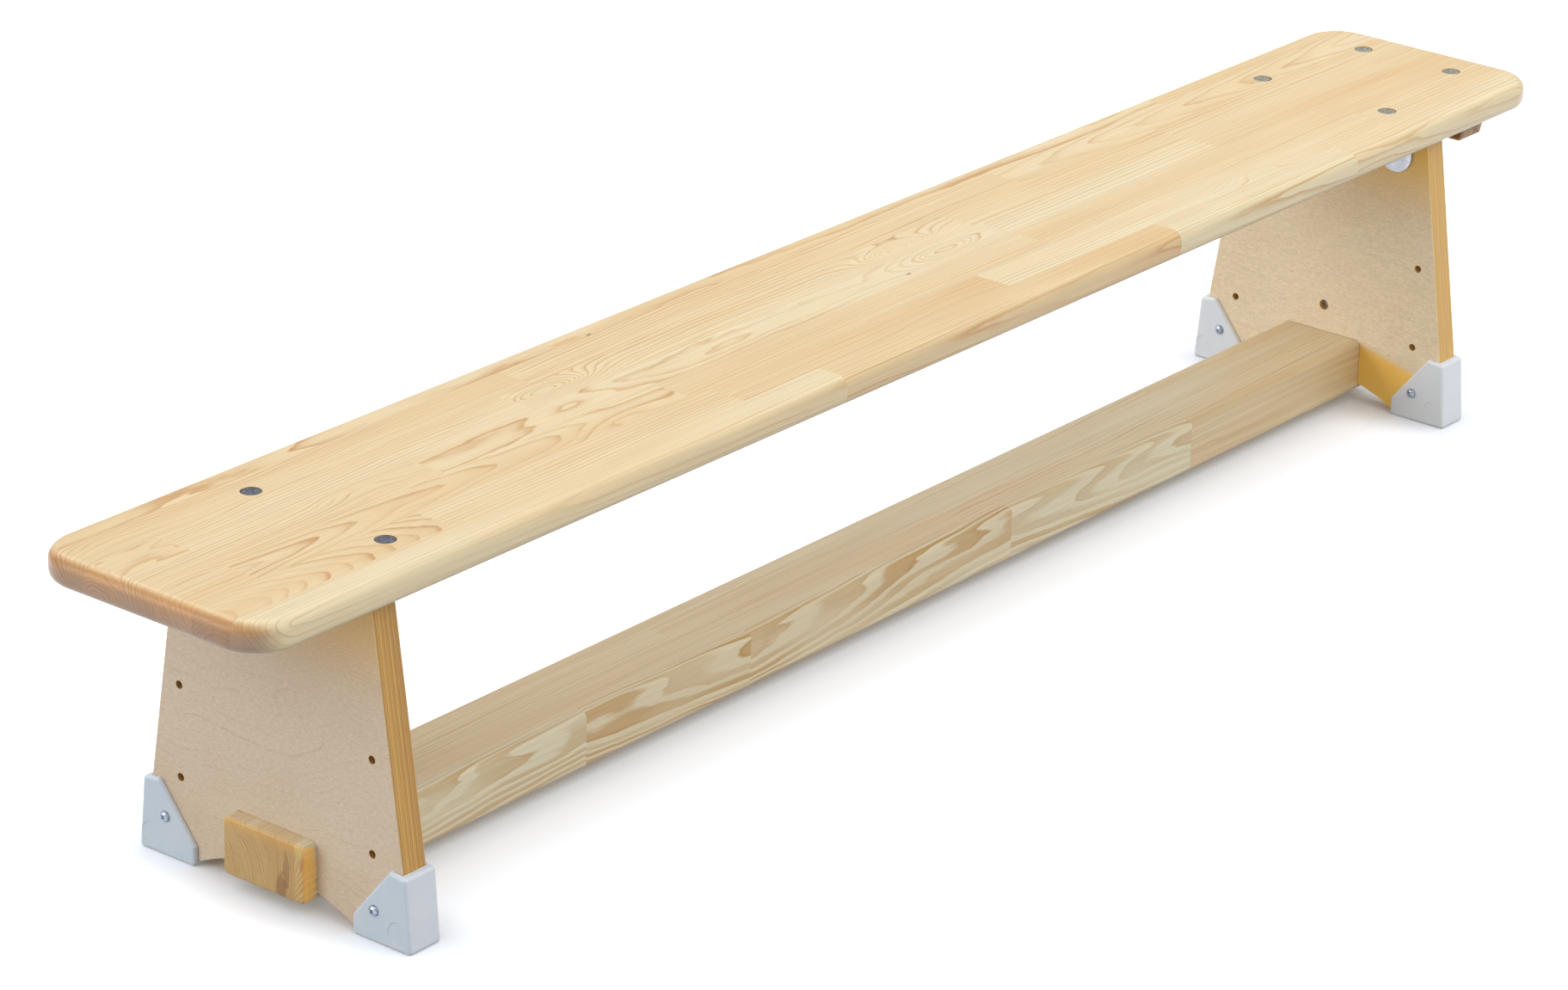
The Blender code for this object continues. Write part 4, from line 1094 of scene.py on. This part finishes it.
# Floor, light and camera
stageLook = {
    "floorSize": 60.0, "floor": paint(244, 248, 255), "floorGrain": paint(240, 240, 242),
    "grainPower": 0.03, "grainNoise": ((40.0, 40.0, 40.0), 2.0), "floorRough": 0.9, "floorSpecular": 0.1,
    # The floor's glow, which keeps it white, and its painted contact shadow: how far in under the beam and
    # the feet the glow is weakest, how much is left there, and within what distance of that place it comes
    # back
    "floorGlow": 0.24, "glowColor": (0.94, 0.97, 1.0, 1.0),
    "beamUnder": 0.035, "beamLeft": 0.0, "beamReach": 0.088,
    "feetUnder": 0.0, "feetLeft": 0.0, "feetReach": 0.062,
    # The dome of light: its strength, and its colour above and below the horizon
    "world": 0.51, "above": (1.0, 1.0, 1.0, 1.0), "below": (0.64, 0.59, 0.50, 1.0),
    "roofTurn": (12.0, 0.0, -140.0), "roofPower": 2.15, "roofSoftness": 125.0,
    "keyTurn": (80.0, 0.0, -120.0), "keyPower": 1.25, "keySoftness": 40.0,
    "fillTurn": (65.0, 0.0, 15.0), "fillPower": 1.00, "fillSoftness": 60.0,
}
cameraLook = {
    "place": (-3.96083, -3.02835, 2.20227), "turn": (67.362, -1.395, -51.069), "lens": 125.696,
    "sensor": 36.0, "farthest": 100.0,
}


def anglesOf(degrees):
    return [math.radians(value) for value in degrees]


def makeFloor(name, look):
    # Pale paper with a faint glow, which fades near the beam and the feet into a painted contact shadow.
    # The distance from a box and its mirror images is the length of what lies past its half sizes, and the
    # glow comes back over a set reach of it.
    material, tree, shader = newMaterial(name)
    place = objectPlace(tree)
    x, y, _ = splitVector(place)
    grain = noiseOf(place, *look["grainNoise"])
    glow = look["floorGlow"]
    for node, kind in (("balance_beam", "beam"), ("foot_far_back", "feet")):
        low, high = boxOf(node)
        under, left, reach = (look[kind + word] for word in ("Under", "Left", "Reach"))
        pastX = absolute(minus(absolute(x), float(high[0] + low[0]) / 2))
        pastX = largest(minus(pastX, float(high[0] - low[0]) / 2 - under), 0.0)
        pastY = largest(minus(absolute(y), float(high[1]) - under), 0.0)
        away = mathOf("SQRT", squaresOf(pastX, pastY))
        glow = times(rampOf(over(away, reach), ((0.0, left), (1.0, 1.0)), True), glow)
    color = mixColors(times(grain, look["grainPower"]), look["floor"], look["floorGrain"])
    fill(shader, {"Base Color": color, "Roughness": look["floorRough"], "Emission Strength": glow,
                  "Emission Color": look["glowColor"], "Specular IOR Level": look["floorSpecular"]})
    return material


def buildStage():
    half = stageLook["floorSize"] / 2
    corners = [(*corner, 0) for corner in rectangle(-half, -half, half, half)]
    floor = newPiece("floor", corners, [(0, 1, 2, 3)])
    floor.data.materials.append(makeFloor("palePaper", stageLook))
    floor.visible_diffuse = False
    world = bpy.data.worlds.new("studio")
    world.use_nodes = True
    dome = world.node_tree
    upwards = splitVector(added(dome, "TexCoord").outputs["Generated"])[2]
    sky = mixColors(isOver(upwards, 0.0), stageLook["below"], stageLook["above"])
    fill(dome.nodes["Background"], {"Color": sky, "Strength": stageLook["world"]})
    scene.world = world
    for name in ("roof", "key", "fill"):
        lamp = newObject(name, bpy.data.lights.new(name, "SUN"))
        lamp.data.energy = stageLook[name + "Power"]
        lamp.data.angle = math.radians(stageLook[name + "Softness"])
        lamp.rotation_euler = anglesOf(stageLook[name + "Turn"])


def buildCamera():
    camera = newObject("camera", bpy.data.cameras.new("camera"))
    camera.location = cameraLook["place"]
    camera.rotation_euler = anglesOf(cameraLook["turn"])
    camera.data.sensor_width = cameraLook["sensor"]
    camera.data.lens = cameraLook["lens"]
    camera.data.clip_end = cameraLook["farthest"]
    scene.camera = camera
    scene.view_settings.view_transform = "Standard"
    scene.view_settings.look = "None"


buildCamera()
buildStage()
print("camera, floor and lights are set")

seatPine = makePine("seatPine", pineLook)
beamPine = makePine("beamPine", {**pineLook, **beamColors})
plywood = makePlywood("legPlywood", plyLook)
plastic = makePlastic("footPlastic", plasticLook)
beech = makeBeech("battenBeech", beechLook)
metals = {name: makeMetal(name, *values) for name, values in metalLook.items()}
print("materials are mixed")

buildSeat(seatPine)
buildBeam(beamPine)
buildBatten(beech)
print("seat, beam and batten are built")
for end in ends:
    buildLeg(end, plywood)
    for side in sides:
        buildFoot(end, side, plastic)
        buildBracket(end, side, metals["bracketZinc"])
print("legs, feet and brackets are built")
for end, endWay in ends.items():
    for side in sides:
        for face, faceWay in (("outer", endWay), ("inner", -endWay)):
            buildScrew(f"foot_screw_{end}_{side}_{face}", "footScrew" + labelOf(end, side, face), faceWay,
                       screwLook["footHead"], metals["screwZinc"])
        buildScrew(f"bracket_screw_{end}_{side}", "bracketScrew" + labelOf(end, side), -endWay,
                   screwLook["bracketHead"], metals["screwZinc"])
        buildBolt(f"seat_bolt_{end}_{side}", "seatBolt" + labelOf(end, side),
                  metals["boltSteelFarPaintedSheen" if end == "far" else "boltSteel"])
for side in sides:
    buildBolt("batten_bolt_" + side, "battenBolt" + labelOf(side), metals["boltSteelFarPaintedSheen"])
hardware = ("seat_washer_", "batten_washer_", "beam_bolt_", "seat_nut_", "batten_nut_", "barrel_nut_")
for node, item in nodes.items():
    if node.startswith(hardware):
        item.data.materials.clear()
        item.data.materials.append(metals["nutZinc"])
print("fasteners are built")
